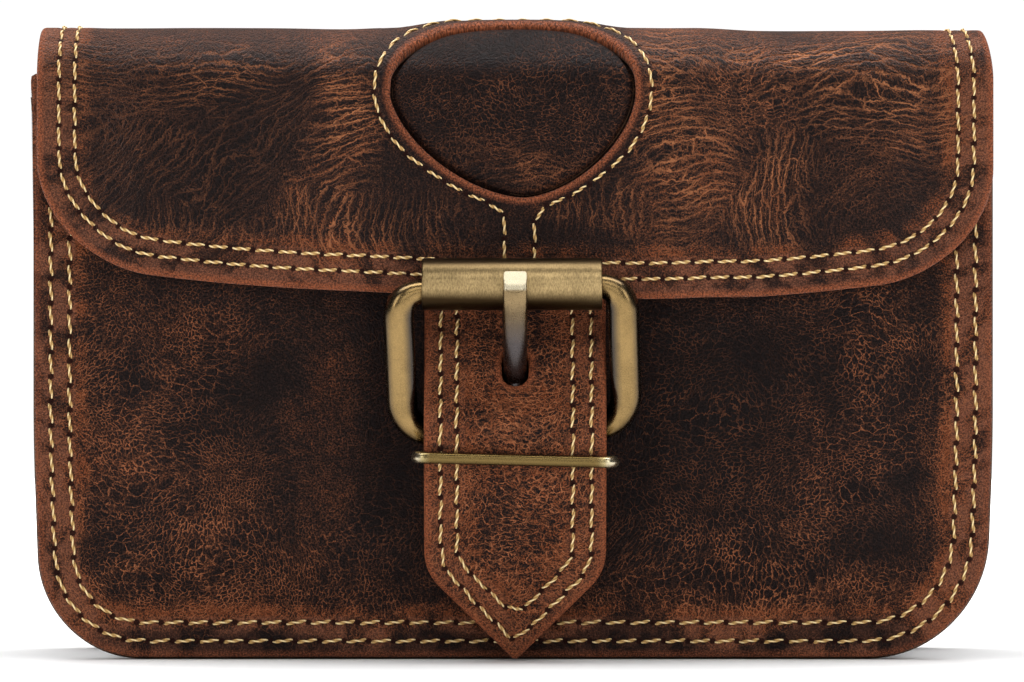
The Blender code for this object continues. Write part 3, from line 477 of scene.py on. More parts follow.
def leather_piece(
    name, outlines, place, thickness, finish, rows, tone, facing=1, middle=False,
    spacing=1.1, lump=0.0, seed=1, shape=None,
):
    """A closed leather sheet with rounded edges, from its flat pattern. place is where its middle lies if
    middle is true, and else its outer face. facing is 1 if u across w looks outward. shape adds relief."""
    edge = min(EDGE_ROUND, thickness * 0.46)
    steps = [edge * (1 - math.cos(a)) for a in (0, 0.35, 0.75, 1.15)]
    steps += [step for step in RING_STEPS if step > edge * 0.9]
    flat, distance, triangles = triangulate(outlines, steps, spacing)
    under_steps = [0.0, *(edge * step for step in UNDER_RINGS), 4.0]
    under_flat, under_distance, under_triangles = triangulate(outlines, under_steps, UNDER_SPACING)
    lanes = stitch_fields(flat, rows)

    def fall(d):
        over = np.clip(edge - d, 0, edge)
        return edge - np.sqrt(np.maximum(0, edge * edge - over * over))

    def spread(points, height):
        u, w = points[:, 0], points[:, 1]
        return place(u, w) + normals_of(place, u, w) * facing * np.reshape(height, (-1, 1))

    lift = thickness / 2 if middle else 0.0
    height = relief_of(flat, distance, lanes, lump, seed)
    if shape is not None:
        height = height + shape(flat, distance)
    rim = np.concatenate(outlines)
    walls = [spread(rim, lift - edge - (thickness - 2 * edge) * share) for share in (0.33, 0.67)]
    upper = spread(flat, lift - fall(distance) + height)
    lower = spread(under_flat, lift - thickness + fall(under_distance))
    first_lower, first_wall = len(upper), len(upper) + len(lower)
    faces = triangles.tolist() + (first_lower + under_triangles[:, ::-1]).tolist()
    levels = [0, first_wall, first_wall + len(rim), first_lower]
    start = 0
    for outline in outlines:
        a = start + np.arange(len(outline))
        b = np.roll(a, -1)
        for high, low in zip(levels, levels[1:]):
            faces += joined(high + a, low + a, low + b, high + b).tolist()
        start += len(outline)
    if facing < 0:
        faces = [face[::-1] for face in faces]

    every = np.concatenate([flat, under_flat, rim, rim])
    side = np.repeat([0.0, 1.0, 0.5], [len(flat), len(under_flat), 2 * len(rim)])
    from_edge = np.concatenate([distance, under_distance, np.full(2 * len(rim), -0.6)])
    traits = tone(every[:, 0], every[:, 1])
    far = np.tile((0, 9, 0), (len(every) - len(flat), 1))  # no stitch is near the inner face and the walls
    values = {
        "pattern": np.column_stack([every, side * 40]),
        "from_edge": from_edge,
        "from_border": nearest(every, outlines[0], True)[0] if len(outlines) > 1 else from_edge,
        "inside": side,
        "look": traits[:, :3],
        "lines": traits[:, 3:],
    }
    for lane, field in enumerate(lanes):
        values[f"stitch_{lane}"] = np.concatenate([field, far])
    obj = mesh_object(name, np.concatenate([upper, lower, *walls]), faces, finish, values)
    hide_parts(name)
    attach(obj, "root")


def mesh_object(name, points, faces, finish, values, smooth_angle=None):
    """A mesh in the scene, with the values of each name in values at its points."""
    mesh = bpy.data.meshes.new(name + "_fine")
    mesh.from_pydata(((np.asarray(points) + SHIFT) * MM).tolist(), [], faces)
    mesh.shade_smooth()
    if smooth_angle:
        mesh.set_sharp_from_angle(angle=smooth_angle)
    mesh.materials.append(finish)
    for key, value in values.items():
        kind, field = ("FLOAT", "value") if value.ndim == 1 else ("FLOAT_VECTOR", "vector")
        mesh.attributes.new(key, kind, "POINT").data.foreach_set(field, np.ravel(value).astype(np.float32))
    obj = bpy.data.objects.new(name + "_fine", mesh)
    bpy.context.scene.collection.objects.link(obj)
    return obj


def ring_faces(rings, sides, closed):
    """Faces between rings of points, each with the same number of sides."""
    faces = []
    for i in range(rings if closed else rings - 1):
        a, b = i * sides, (i + 1) % rings * sides
        faces += [[a + k, a + (k + 1) % sides, b + (k + 1) % sides, b + k] for k in range(sides)]
    return faces


# Stitches

THREAD_SIDES, THREAD_RINGS = 6, 12
PLY, CORE = 0.185, 0.145  # radius of one ply, and how far its middle lies from the thread's
SHOWN = np.linspace(0.14, 0.86, THREAD_RINGS)  # the part of the pitch that has thread
SUNK, ARCH, ARCH_HALF = 0.55, 0.62, 0.37  # how deep a stitch's ends lie, its rise over them, and half its run
TWISTS = 1.3  # turns of the plies in one stitch


def stitches(name, rows, place, finish, facing=1, lean=0.3, seed=5):
    """Thread that shows between the holes: two plies twisted round each other, drawn into the leather."""
    rng = np.random.default_rng(seed)
    starts = [row.start + np.arange(row.count) * row.pitch for row in rows]
    a = np.concatenate([row.route.at(start) for row, start in zip(rows, starts)])
    run = np.concatenate([row.route.at(start + row.pitch) for row, start in zip(rows, starts)]) - a
    count = len(a)
    side = left_of(run) / np.linalg.norm(run, axis=1, keepdims=True)
    slip = lean + rng.normal(0, 0.04, (count, 1))
    flat = a[:, None] + run[:, None] * SHOWN[:, None] + (side * slip)[:, None] * ((SHOWN - 0.5) * 2)[:, None]
    u, w = flat[..., 0].ravel(), flat[..., 1].ravel()
    up = normals_of(place, u, w).reshape(count, -1, 3) * facing
    swell = rng.normal(1, 0.06, (count, 1))
    arch = -SUNK + ARCH * np.sqrt(np.clip(1 - np.abs((SHOWN - 0.5) / ARCH_HALF) ** 3, 0, 1))
    centre = place(u, w).reshape(count, -1, 3) + up * (arch * swell)[..., None]
    ahead = unit(np.gradient(centre, axis=1))
    across = unit(np.cross(up, ahead))
    above = np.cross(ahead, across)
    twist = rng.uniform(0, 2 * math.pi, (count, 1)) * 0.25 + 2 * math.pi * TWISTS * SHOWN
    ring = np.arange(THREAD_SIDES) * 2 * math.pi / THREAD_SIDES
    ring_across, ring_above = np.cos(ring)[:, None], np.sin(ring)[:, None]
    points, shade = [], []
    for strand in (0, 1):
        turn = (twist + math.pi * strand)[..., None]
        middle = centre + CORE * (np.cos(turn) * across + np.sin(turn) * above)
        round_it = ring_across * across[:, :, None] + ring_above * above[:, :, None]
        points.append((middle[:, :, None] + PLY * round_it).reshape(-1, 3))
        # Painted light: each ply is lighter on its upper side and darker underneath and in the groove next to
        # the other ply.
        crown = (CORE * np.sin(turn) + PLY * np.sin(ring)) / (CORE + PLY)
        outward = 0.5 + 0.5 * np.cos(ring - turn)
        shade.append((np.clip(0.25 + 0.75 * crown, 0, 1) * (0.55 + 0.45 * outward)).ravel())
    first = (np.arange(2 * count) * THREAD_RINGS * THREAD_SIDES)[:, None]
    cap = np.arange(THREAD_SIDES)
    quads = np.array(ring_faces(THREAD_RINGS, THREAD_SIDES, False))
    faces = (first[..., None] + quads).reshape(-1, 4).tolist() + (first + cap[::-1]).tolist()
    faces += (first + (THREAD_RINGS - 1) * THREAD_SIDES + cap).tolist()
    obj = mesh_object(name, np.concatenate(points), faces, finish, {"shade": np.concatenate(shade)})
    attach(obj, "root")


# Looks


class Shader:
    """A node material under construction."""

    def __init__(self, name):
        self.material = bpy.data.materials.new(name)
        self.material.use_nodes = True
        self.tree = self.material.node_tree
        self.tree.nodes.clear()
        self.out = self.tree.nodes.new("ShaderNodeOutputMaterial")

    def node(self, kind, inputs=(), **settings):
        made = self.tree.nodes.new("ShaderNode" + kind)
        for key, value in settings.items():
            setattr(made, key, value)
        for key, value in dict(inputs).items():
            self.put(made.inputs[key], value)
        return made

    def put(self, socket, value):
        if isinstance(value, bpy.types.NodeSocket):
            self.tree.links.new(value, socket)
        elif isinstance(value, tuple) and len(value) == 3 and socket.type == "RGBA":
            socket.default_value = (*value, 1.0)
        else:
            socket.default_value = value

    def math(self, operation, a, b=0.0, c=0.0, clamp=False):
        return self.node("Math", {0: a, 1: b, 2: c}, operation=operation, use_clamp=clamp).outputs[0]

    def times(self, a, b, clamp=False):
        return self.math("MULTIPLY", a, b, clamp=clamp)

    def plus(self, a, b, clamp=False):
        return self.math("ADD", a, b, clamp=clamp)

    def scale(self, value, factor, more, clamp=False):
        """The value times a factor, and more."""
        return self.math("MULTIPLY_ADD", value, factor, more, clamp)

    def most(self, a, b):
        return self.math("MAXIMUM", a, b)

    def vector(self, operation, a, b=(0.0, 0.0, 0.0), out=0):
        return self.node("VectorMath", {0: a, 1: b}, operation=operation).outputs[out]

    def scaled(self, vector, factor):
        return self.node("VectorMath", {0: vector, "Scale": factor}, operation="SCALE").outputs[0]

    def mix(self, share, a, b, kind="RGBA", blend="MIX"):
        first, second, out = {"FLOAT": (2, 3, 0), "VECTOR": (4, 5, 1), "RGBA": (6, 7, 2)}[kind]
        inputs = {0: share, first: a, second: b}
        return self.node("Mix", inputs, data_type=kind, blend_type=blend).outputs[out]

    def ramp(self, value, low, high, start=0.0, end=1.0):
        """A soft step from start to end as the value goes from low to high."""
        inputs = {"Value": value, "From Min": low, "From Max": high, "To Min": start, "To Max": end}
        return self.node("MapRange", inputs, interpolation_type="SMOOTHSTEP").outputs[0]

    def attribute(self, name, out="Fac"):
        return self.node("Attribute", attribute_name=name).outputs[out]

    def position(self):
        return self.node("NewGeometry").outputs["Position"]

    def split(self, vector):
        return self.node("SeparateXYZ", {0: vector}).outputs[:3]

    def noise(self, vector, scale, detail=2.0, roughness=0.6, dimensions="2D", out=0):
        inputs = {"Vector": vector, "Scale": scale, "Detail": detail, "Roughness": roughness}
        return self.node("TexNoise", inputs, noise_dimensions=dimensions).outputs[out]

    def turned(self, vector, angle, along, across):
        """Coordinates drawn out along a direction, in cells of the given sizes."""
        inputs = {"Vector": vector, "Rotation": (0.0, 0.0, angle), "Scale": (along, across, 1.0)}
        return self.node("Mapping", inputs, vector_type="TEXTURE").outputs[0]

    def net(self, place, along, across):
        """Distance to the nearest border between cells, in the surface's units, and a random tone of each.
        place is the surface divided by the cells' length and width."""
        cell = {"Vector": place, "Scale": 1.0}
        near, far = [self.node("TexVoronoi", cell, voronoi_dimensions="2D", feature=kind).outputs
                     for kind in ("F1", "F2")]
        middle = self.scaled(self.vector("ADD", near["Position"], far["Position"]), 0.5)
        apart = self.vector("SUBTRACT", far["Position"], near["Position"])
        reach = self.vector("DOT_PRODUCT", self.vector("SUBTRACT", middle, place), apart, "Value")
        slope = self.vector("LENGTH", self.vector("DIVIDE", apart, (along, across, 1.0)), out="Value")
        return self.math("DIVIDE", reach, slope), near["Color"]

    def bump(self, height, distance):
        return self.node("Bump", {"Distance": distance, "Height": height}).outputs[0]

    def finish(self, **inputs):
        shader = self.node("BsdfPrincipled")
        for key, value in inputs.items():
            self.put(shader.inputs[key.replace("_", " ")], value)
        self.tree.links.new(shader.outputs[0], self.out.inputs["Surface"])
        return self.material


INK = (0.0095, 0.0065, 0.0065)
DARK = (0.0185, 0.0105, 0.009)
BROWN = (0.058, 0.023, 0.0128)
RED = (0.16, 0.0485, 0.0195)
TAN = (0.43, 0.165, 0.07)
WORN = (0.36, 0.126, 0.055)
SEAM = (0.17, 0.07, 0.042)
# The colour on the next line is painted shade for the stitch holes.
HOLE_SHADE = (0.016, 0.004, 0.003)
RIM, RIM_DARK = (0.37, 0.106, 0.044), (0.18, 0.053, 0.024)
SUEDE, SUEDE_DARK = (0.15, 0.085, 0.05), (0.06, 0.032, 0.02)
# Length and width of the long, short, fine and wide cells
CELL_SIZES = ((9.0, 1.7), (4.0, 0.95), (1.0, 0.8), (2.1, 1.6))


def leather_finish(
    name, roughness=0.46, warmth=0.0, grain=1.0, shine=0.07, worn_rim=0.4, mottle=0.6, seam=1.0, sheen=0.0
):
    """Oiled leather with pulled-up lines: near black where the wax is thick, red to tan where it was bent."""
    s = Shader(name)
    plain, look, lines = [s.attribute(key, "Vector") for key in ("pattern", "look", "lines")]
    warm, dark, net = s.split(look)
    level, slant, upright = s.split(lines)
    edge, inside, border = [s.attribute(key) for key in ("from_edge", "inside", "from_border")]

    grey = (0.5, 0.5, 0.5)
    sway = s.vector("SUBTRACT", s.noise(plain, 0.05, 1.0, 0.5, out=1), grey)
    shiver = s.vector("SUBTRACT", s.noise(plain, 0.75, 3.0, 0.65, out=1), grey)
    bent = s.vector("ADD", plain, s.vector("ADD", s.scaled(sway, 11.0), s.scaled(shiver, 1.25)))

    cloud = s.noise(plain, 0.07)
    patch = s.noise(bent, 0.2)
    speck = s.ramp(s.noise(plain, 3.0, 2.0, 0.8), 0.32, 0.68)
    spots = s.noise(plain, 0.9, 3.0)
    sparse = s.ramp(s.noise(plain, 0.11), 0.5, 0.62)
    broken = s.ramp(s.noise(plain, 0.16), 0.3, 0.6)
    faint = s.ramp(s.noise(plain, 0.4), 0.35, 0.6)

    leaning = s.math("GREATER_THAN", slant, level)
    standing = s.math("GREATER_THAN", upright, s.most(slant, level))
    strength = s.most(s.most(slant, level), upright)

    def cells(along, across):
        """A net drawn out level, slanting or upright, whichever is strongest at the place."""
        flat, slanting, steep = [s.turned(bent, angle, along, across) for angle in (-0.12, -0.7, 1.5)]
        place = s.mix(standing, s.mix(leaning, flat, slanting, "VECTOR"), steep, "VECTOR")
        return s.net(place, along, across)

    nets = [cells(*size) for size in CELL_SIZES]
    long_gap, short_gap, fine_gap, wide_gap = [gap for gap, _ in nets]
    cell_tone = s.split(nets[2][1])[0]
    long_line = s.most(s.ramp(long_gap, 0.18, 0.04), s.ramp(short_gap, 0.13, 0.02, 0.0, 0.75))
    long_line = s.times(long_line, s.times(strength, s.scale(broken, 0.6, 0.4)))
    fine_line = s.mix(sparse, s.ramp(fine_gap, 0.1, 0.02), s.ramp(wide_gap, 0.09, 0.03), "FLOAT")
    drawn = s.most(long_line, s.times(s.times(fine_line, net), s.scale(faint, 0.7, 0.3)))

    balance = s.math("SUBTRACT", warm, dark)
    heat = s.scale(balance, 0.75, s.plus(s.scale(cloud, 0.9, warmth - 1.04), s.times(patch, 0.5)))
    sewn = s.times(s.ramp(border, 10.5, 7.8, 0.0, seam), s.ramp(balance, -0.5, 0.2, 0.3, 1.0))
    heat = s.plus(heat, s.times(sewn, s.times(patch, 1.5)))
    ridge = s.times(strength, s.ramp(long_gap, 0.75, 0.05, -0.25, 0.4))
    web = s.mix(sparse, s.ramp(fine_gap, 0.3, 0.04), s.ramp(wide_gap, 0.4, 0.05), "FLOAT")
    heat = s.plus(heat, s.scale(net, s.scale(web, 0.16, -0.1), ridge))
    uneven = ((speck, 0.95, -0.48), (spots, mottle, -0.5 * mottle), (cell_tone, 0.35, -0.18))
    for value, factor, more in uneven:
        heat = s.plus(heat, s.scale(value, factor, more))
    colour = INK
    for low, high, warmer in ((-0.45, 0.1, DARK), (0.0, 0.55, BROWN), (0.4, 1.1, RED)):
        colour = s.mix(s.ramp(heat, low, high), colour, warmer)
    sewn = s.times(sewn, s.times(s.ramp(border, 7.6, 6.8), s.ramp(patch, 0.38, 0.58, 0.05, 0.7)))
    colour = s.mix(sewn, colour, SEAM)
    colour = s.mix(1.0, colour, s.mix(speck, (0.55, 0.53, 0.53), (1.5, 1.43, 1.4)), blend="MULTIPLY")
    shown = s.times(drawn, s.scale(s.ramp(heat, -0.7, 0.7), 0.6, 0.4), clamp=True)
    shown = s.times(shown, s.scale(sewn, -0.3, 1.0))
    colour = s.mix(shown, colour, s.mix(long_line, WORN, TAN))

    # Painted shade: the leather turns near black round each stitch hole, as if the hole were deep.
    lanes = []
    for lane in (0, 1):
        along, across, near = s.split(s.attribute(f"stitch_{lane}", "Vector"))
        step = s.times(s.math("SUBTRACT", along, s.math("ROUND", along)), PITCH)
        gap = s.math("SQRT", s.plus(s.math("POWER", step, 2.0), s.math("POWER", across, 2.0)))
        lanes.append(s.times(s.ramp(gap, 0.68, 0.42), s.math("GREATER_THAN", near, 0.5)))
    colour = s.mix(s.times(s.most(*lanes), 0.93), colour, HOLE_SHADE)

    rim = s.times(s.ramp(edge, 1.7, 0.4), s.scale(speck, 0.75 * worn_rim, 0.45 * worn_rim), clamp=True)
    colour = s.mix(rim, colour, s.mix(speck, RIM_DARK, RIM))
    back = s.mix(s.noise(plain, 1.4, 4.0, 0.7), SUEDE_DARK, SUEDE)
    colour = s.mix(s.ramp(inside, 0.7, 0.8), colour, back)

    height = s.times(s.ramp(long_gap, 0.45, 0.0), s.times(strength, -0.8))
    height = s.plus(height, s.times(s.ramp(fine_gap, 0.3, 0.0), -0.45 * grain))
    height = s.plus(height, s.times(speck, 0.3 * grain))
    gloss = s.plus(s.scale(speck, 0.18, roughness - 0.09), s.times(drawn, 0.12))
    gloss = s.plus(gloss, s.ramp(inside, 0.3, 0.8, 0.0, 0.4), clamp=True)
    return s.finish(
        Base_Color=colour, Roughness=gloss, Normal=s.bump(height, 0.0003), Specular_IOR_Level=shine,
        Sheen_Weight=sheen, Sheen_Roughness=0.3, Sheen_Tint=(1.0, 0.64, 0.54),
    )


def thread_finish():
    s = Shader("golden_thread")
    fuzz = s.noise(s.position(), 5200.0, dimensions="3D")
    # The colour follows the painted light of the plies: deep golden brown in painted shade and cream as a
    # painted highlight, broken by fine noise.
    bright = s.scale(fuzz, 0.5, s.math("SUBTRACT", s.attribute("shade"), 0.25))
    colour = s.mix(s.ramp(bright, 0.0, 0.5), (0.10, 0.042, 0.010), (0.56, 0.33, 0.105))
    colour = s.mix(s.ramp(bright, 0.5, 0.95), colour, (1.0, 0.78, 0.42))
    return s.finish(Base_Color=colour, Roughness=0.5, Normal=s.bump(fuzz, 0.00006))


POLISH_AND_HIGHLIGHT_BRASS, DULL_BRASS = (0.66, 0.58, 0.41), (0.10, 0.075, 0.045)


def brass_finish(name, tint=(0.30, 0.196, 0.078), roughness=0.25, brushed=False, patina_and_painted_light=(0.06, 0.05, 0.042)):
    """Aged brass. Its pieces carry a value: 0 where the metal is plain, 1 where it is darkest, and below 0
    where it is brightest. Towards 1 it is real tarnish on the prong and painted shade on the frame and
    roller, and it darkens the keeper's middle; below 0 it is polish on the prong's tip and a painted
    highlight at the keeper's ends."""
    s = Shader(name)
    place = s.scaled(s.position(), 1 / MM)
    stain = s.noise(place, 0.22, 3.0, dimensions="3D")
    fine = s.noise(place, 2.4, dimensions="3D")
    across = 1.8 if brushed else 5.0
    grain = s.node("Mapping", {"Vector": place, "Scale": (5.0, across, across)}).outputs[0]
    strokes = s.noise(grain, 1.0, dimensions="3D")
    colour = s.mix(s.ramp(stain, 0.35, 0.75), tint, tuple(c * 0.78 for c in tint))
    colour = s.mix(s.times(s.ramp(fine, 0.5, 0.8), 0.25), colour, DULL_BRASS)
    rub = 0.28 if brushed else 0.12
    worked = s.mix(s.ramp(strokes, 0.3, 0.7), (1 - rub,) * 3, (1 + rub,) * 3)
    colour = s.mix(1.0, colour, worked, blend="MULTIPLY")
    tarnish_and_painted_light = s.attribute("patina_and_painted_light")
    # Brighter below 0: polish at the prong's tip and a painted highlight at the keeper's ends.
    colour = s.mix(s.ramp(tarnish_and_painted_light, 0.0, -1.0), colour, POLISH_AND_HIGHLIGHT_BRASS)
    # Darker towards 1: real tarnish on the prong, painted shade on the frame and roller.
    colour = s.mix(s.times(tarnish_and_painted_light, 1.0, clamp=True), colour, patina_and_painted_light)
    gloss = s.plus(s.scale(stain, 0.14, roughness - 0.07), s.scale(strokes, 0.16, -0.08), clamp=True)
    relief = s.bump(strokes, 0.00002 if brushed else 0.00001)
    return s.finish(Base_Color=colour, Metallic=1.0, Roughness=gloss, Normal=relief)


# Tones by place in the photograph: middle, half size, turn in degrees, then traits and their strength
TRAITS = ("warm", "dark", "net", "level", "slant", "upright")
FLAP_TONES = [
    # The first row warms the top of the fold: a painted sheen where it turns towards the top light.
    (512, 26, 700, 26, 0, {"warm": 0.55}),
    (512, 150, 900, 400, 0, {"net": 0.12}),
    (190, 150, 150, 80, -15, {"slant": 0.4, "dark": 0.15}),
    (140, 85, 90, 50, -8, {"level": 0.5}),
    (110, 90, 50, 60, 0, {"net": 0.4}),
    (190, 225, 100, 22, 0, {"upright": 0.45}),
    (240, 165, 60, 34, 0, {"dark": 0.25}),
    (230, 70, 70, 26, 0, {"warm": 0.15, "level": 0.5}),
    (340, 130, 42, 100, 0, {"warm": 0.55, "level": 1.0}),
    (285, 72, 16, 38, 0, {"dark": 0.6}),
    (350, 225, 60, 34, 0, {"upright": 0.8, "warm": 0.3}),
    (440, 225, 40, 30, 0, {"upright": 0.4, "dark": 0.1}),
    (675, 130, 52, 100, 0, {"warm": 0.6, "level": 1.0, "net": 0.5}),
    (600, 215, 60, 36, 0, {"upright": 0.6, "warm": 0.35}),
    (760, 90, 40, 55, 0, {"net": 1.0, "warm": 0.25}),
    (765, 190, 48, 48, 0, {"upright": 1.0, "warm": 0.45}),
    (870, 105, 95, 75, 0, {"level": 1.0, "warm": 0.25, "net": 0.25}),
    (925, 100, 28, 80, 0, {"warm": 0.2}),
    (855, 190, 66, 34, -20, {"dark": 0.25, "level": -0.8, "slant": 0.25, "net": 0.3}),
    (790, 60, 60, 14, 0, {"warm": 0.3, "level": 0.8}),
]
FRONT_TONES = [
    (512, 450, 900, 600, 0, {"net": 0.25}),
    (100, 440, 40, 190, 0, {"warm": 0.45, "net": 0.6}),
    (190, 470, 70, 130, 0, {"warm": 0.3, "net": 0.6}),
    (215, 350, 40, 50, 20, {"warm": 0.35, "net": 0.5}),
    # Lighter here: a painted sheen on the panel's bulge beside the strap.
    (330, 440, 46, 120, 0, {"dark": -0.4}),
    # The next two rows are painted shadow of the tongue strap and buckle on the panel, left and right of the
    # strap.
    (400, 430, 30, 160, 0, {"dark": 0.5}),
    (640, 430, 30, 120, 0, {"dark": 0.4}),
    (205, 425, 26, 22, 0, {"dark": 0.5}),
    (245, 395, 64, 48, 0, {"dark": 0.3, "net": -0.3}),
    (105, 525, 28, 30, 0, {"dark": 0.7, "net": -0.3}),
    (135, 370, 24, 20, 0, {"dark": 0.5}),
    (170, 585, 70, 16, 0, {"dark": 0.5}),
    (245, 560, 150, 40, 0, {"warm": 0.3, "net": 0.5}),
    (690, 440, 70, 130, 0, {"net": 0.35, "dark": 0.75}),
    (650, 400, 34, 30, 0, {"warm": 0.4}),
    (750, 365, 54, 36, 0, {"dark": 0.35, "net": -0.25}),
    (745, 560, 44, 36, 0, {"net": 0.4, "warm": 0.2}),
    (875, 550, 40, 26, 0, {"dark": 0.55, "net": -0.4}),
    (780, 540, 120, 60, 0, {"net": 0.5, "warm": 0.1}),
    (850, 400, 70, 110, 0, {"net": 0.7, "warm": 0.15}),
    (820, 395, 26, 24, 0, {"dark": 0.7, "net": -0.6}),
    (905, 470, 18, 18, 0, {"dark": 0.6, "net": -0.6}),
    (870, 330, 50, 20, 0, {"net": 0.3, "warm": 0.25}),
    (950, 470, 26, 170, 0, {"warm": 0.6, "net": 0.4}),
    (760, 605, 240, 26, 0, {"warm": 0.5, "net": 0.7, "upright": 0.12}),
    (250, 610, 170, 26, 0, {"warm": 0.45, "net": 0.5}),
    (512, 648, 420, 16, 0, {"dark": 0.8}),
]
STRAP_TONES = [
    (516, 460, 110, 260, 0, {"warm": 0.52, "net": 1.15}),
    (505, 335, 40, 30, 0, {"dark": 0.35}),
    (516, 420, 34, 26, 0, {"level": 0.5, "dark": 0.2}),
    (480, 520, 30, 50, 0, {"dark": 0.3}),
    (513, 384, 22, 16, 0, {"warm": 0.6}),
]
PATCH_TONES = [
    (512, 100, 160, 110, 0, {"dark": 0.05, "net": 0.5}),
    # The next row darkens the patch's top: painted shade that tones down the sheen there.
    (512, 42, 110, 18, 0, {"dark": 0.6, "net": -0.3}),
    (530, 165, 80, 26, 0, {"warm": 0.4, "level": 0.5}),
]
PLAIN_TONES = [(512, 300, 2000, 2000, 0, {"net": 0.4, "slant": 0.3})]


def traits_at(x, z, table, seed=3):
    """The traits of the leather at a place across and up on the bag's front."""
    px, py = x / SEEN_MM + SEEN_MIDDLE, SEEN_FLOOR - z / SEEN_MM
    px = px + 15 * wobble(px / 190, py / 190, seed)
    py = py + 15 * wobble(px / 190, py / 190, seed + 9)
    values = {trait: np.zeros(np.shape(px)) for trait in TRAITS}
    for middle_x, middle_y, wide, high, turn, traits in table:
        a = math.radians(turn)
        across = ((px - middle_x) * math.cos(a) + (py - middle_y) * math.sin(a)) / wide
        down = (-(px - middle_x) * math.sin(a) + (py - middle_y) * math.cos(a)) / high
        weight = np.exp(-((across**2 + down**2) ** 1.5) * 0.8)
        for trait, strength in traits.items():
            values[trait] += strength * weight
    return joined(*[values[trait] for trait in TRAITS])


# Pieces

brown = leather_finish("brown_leather_fine")
flap_leather = leather_finish("flap_leather_fine", worn_rim=0.9, sheen=0.25)
strap_leather = leather_finish(
    "strap_leather_fine", roughness=0.5, warmth=0.42, worn_rim=0.8, mottle=2.4, seam=0.4
)
patch_leather = leather_finish(
    "patch_leather_fine", roughness=0.4, warmth=-0.05, grain=0.8, shine=0.05, worn_rim=0.5, seam=0.0
)
thread = thread_finish()
brass = brass_finish("aged_brass_fine")
roller_brass = brass_finish("brushed_brass_fine", (0.45, 0.32, 0.15), 0.35, True, (0.04, 0.024, 0.01))
prong_brass = brass_finish("prong_brass_fine", (0.27, 0.19, 0.095), 0.28, patina_and_painted_light=(0.10, 0.09, 0.095))
keeper_brass = brass_finish("keeper_brass_fine", (0.45, 0.36, 0.17), 0.26, patina_and_painted_light=(0.16, 0.108, 0.038))

OUTLINE_STEP = 0.9
# How far in from the edge each lane of stitches runs
FRONT_ROWS, FLAP_ROWS, STRAP_ROWS, LOOP_ROWS = (2.9, 6.2), (3.5, 6.3), (2.6, 5.9), (2.6, 6.2)
OPEN_LEFT, OPEN_RIGHT = -1.9, 3.4  # where the row round the window turns down


def front_piece():
    half = FRONT_HALF
    left, right = CORNER_LEFT - EDGE_STEP, CORNER_RIGHT - EDGE_STEP
    bends = [left, right, FRONT_CORNER, FRONT_CORNER]
    outline = round_box(-half, half, EDGE_STEP, FRONT_HEIGHT, bends, OUTLINE_STEP)
    rows = []
    for lane, gap in enumerate(FRONT_ROWS):
        line = trough(half - gap, EDGE_STEP + gap, FRONT_HEIGHT - 1.5, left - gap, right - gap)
        rows.append(Row(line, lane, start=lane * 1.6))

    def hollow(points, distance):
        """The leather sinks a little beside the tongue strap."""
        x, z = points[:, 0], points[:, 1]
        beside = np.abs(np.abs(x - STRAP_SHIFT) - STRAP_WIDTH / 2 - 4.5)
        return -0.9 * (1 - smooth(beside / 7)) * smooth((z - 14) / 22) * smooth((88 - z) / 20)

    leather_piece("front_panel", [outline], front_place, PANEL_LEATHER, brown, rows,
                  lambda x, z: traits_at(x, z, FRONT_TONES), lump=-0.22, seed=4, shape=hollow)
    stitches("front_thread", rows, front_place, thread)


def flap_outline():
    turn = np.radians(np.arange(0, 90.1, 3))
    inner = HALF_WIDTH - FLAP_CORNER_WIDTH
    bend = HALF_WIDTH - FLAP_CORNER_WIDTH * (1 - np.cos(turn))
    across = np.concatenate([bend, np.arange(inner, -inner, -1)[1:], -bend[::-1][1:]])
    edge = [(x, float(flap_edge(x))) for x in across]
    return resample(np.concatenate([trough(HALF_WIDTH, 0, 60), edge]), OUTLINE_STEP)


def flap_traits(x, along):
    place = flap_place(x, along)
    front = smooth((along - TOP_END + 6) / 8)[:, None]
    seen_tones = traits_at(place[:, 0], place[:, 2] + np.maximum(0, TOP_END - along), FLAP_TONES, 6)
    band = np.clip(1 - nearest(joined(x, along), WINDOW_EDGE, True)[0] / 3.2, 0, 1)[:, None]
    seen_tones = seen_tones * (1 - 0.8 * smooth(band * 1.6)) + np.array([0.05, 0, 0.1, 0, 0, 0]) * band
    return seen_tones * front + traits_at(x, along, PLAIN_TONES, 8) * (1 - front)


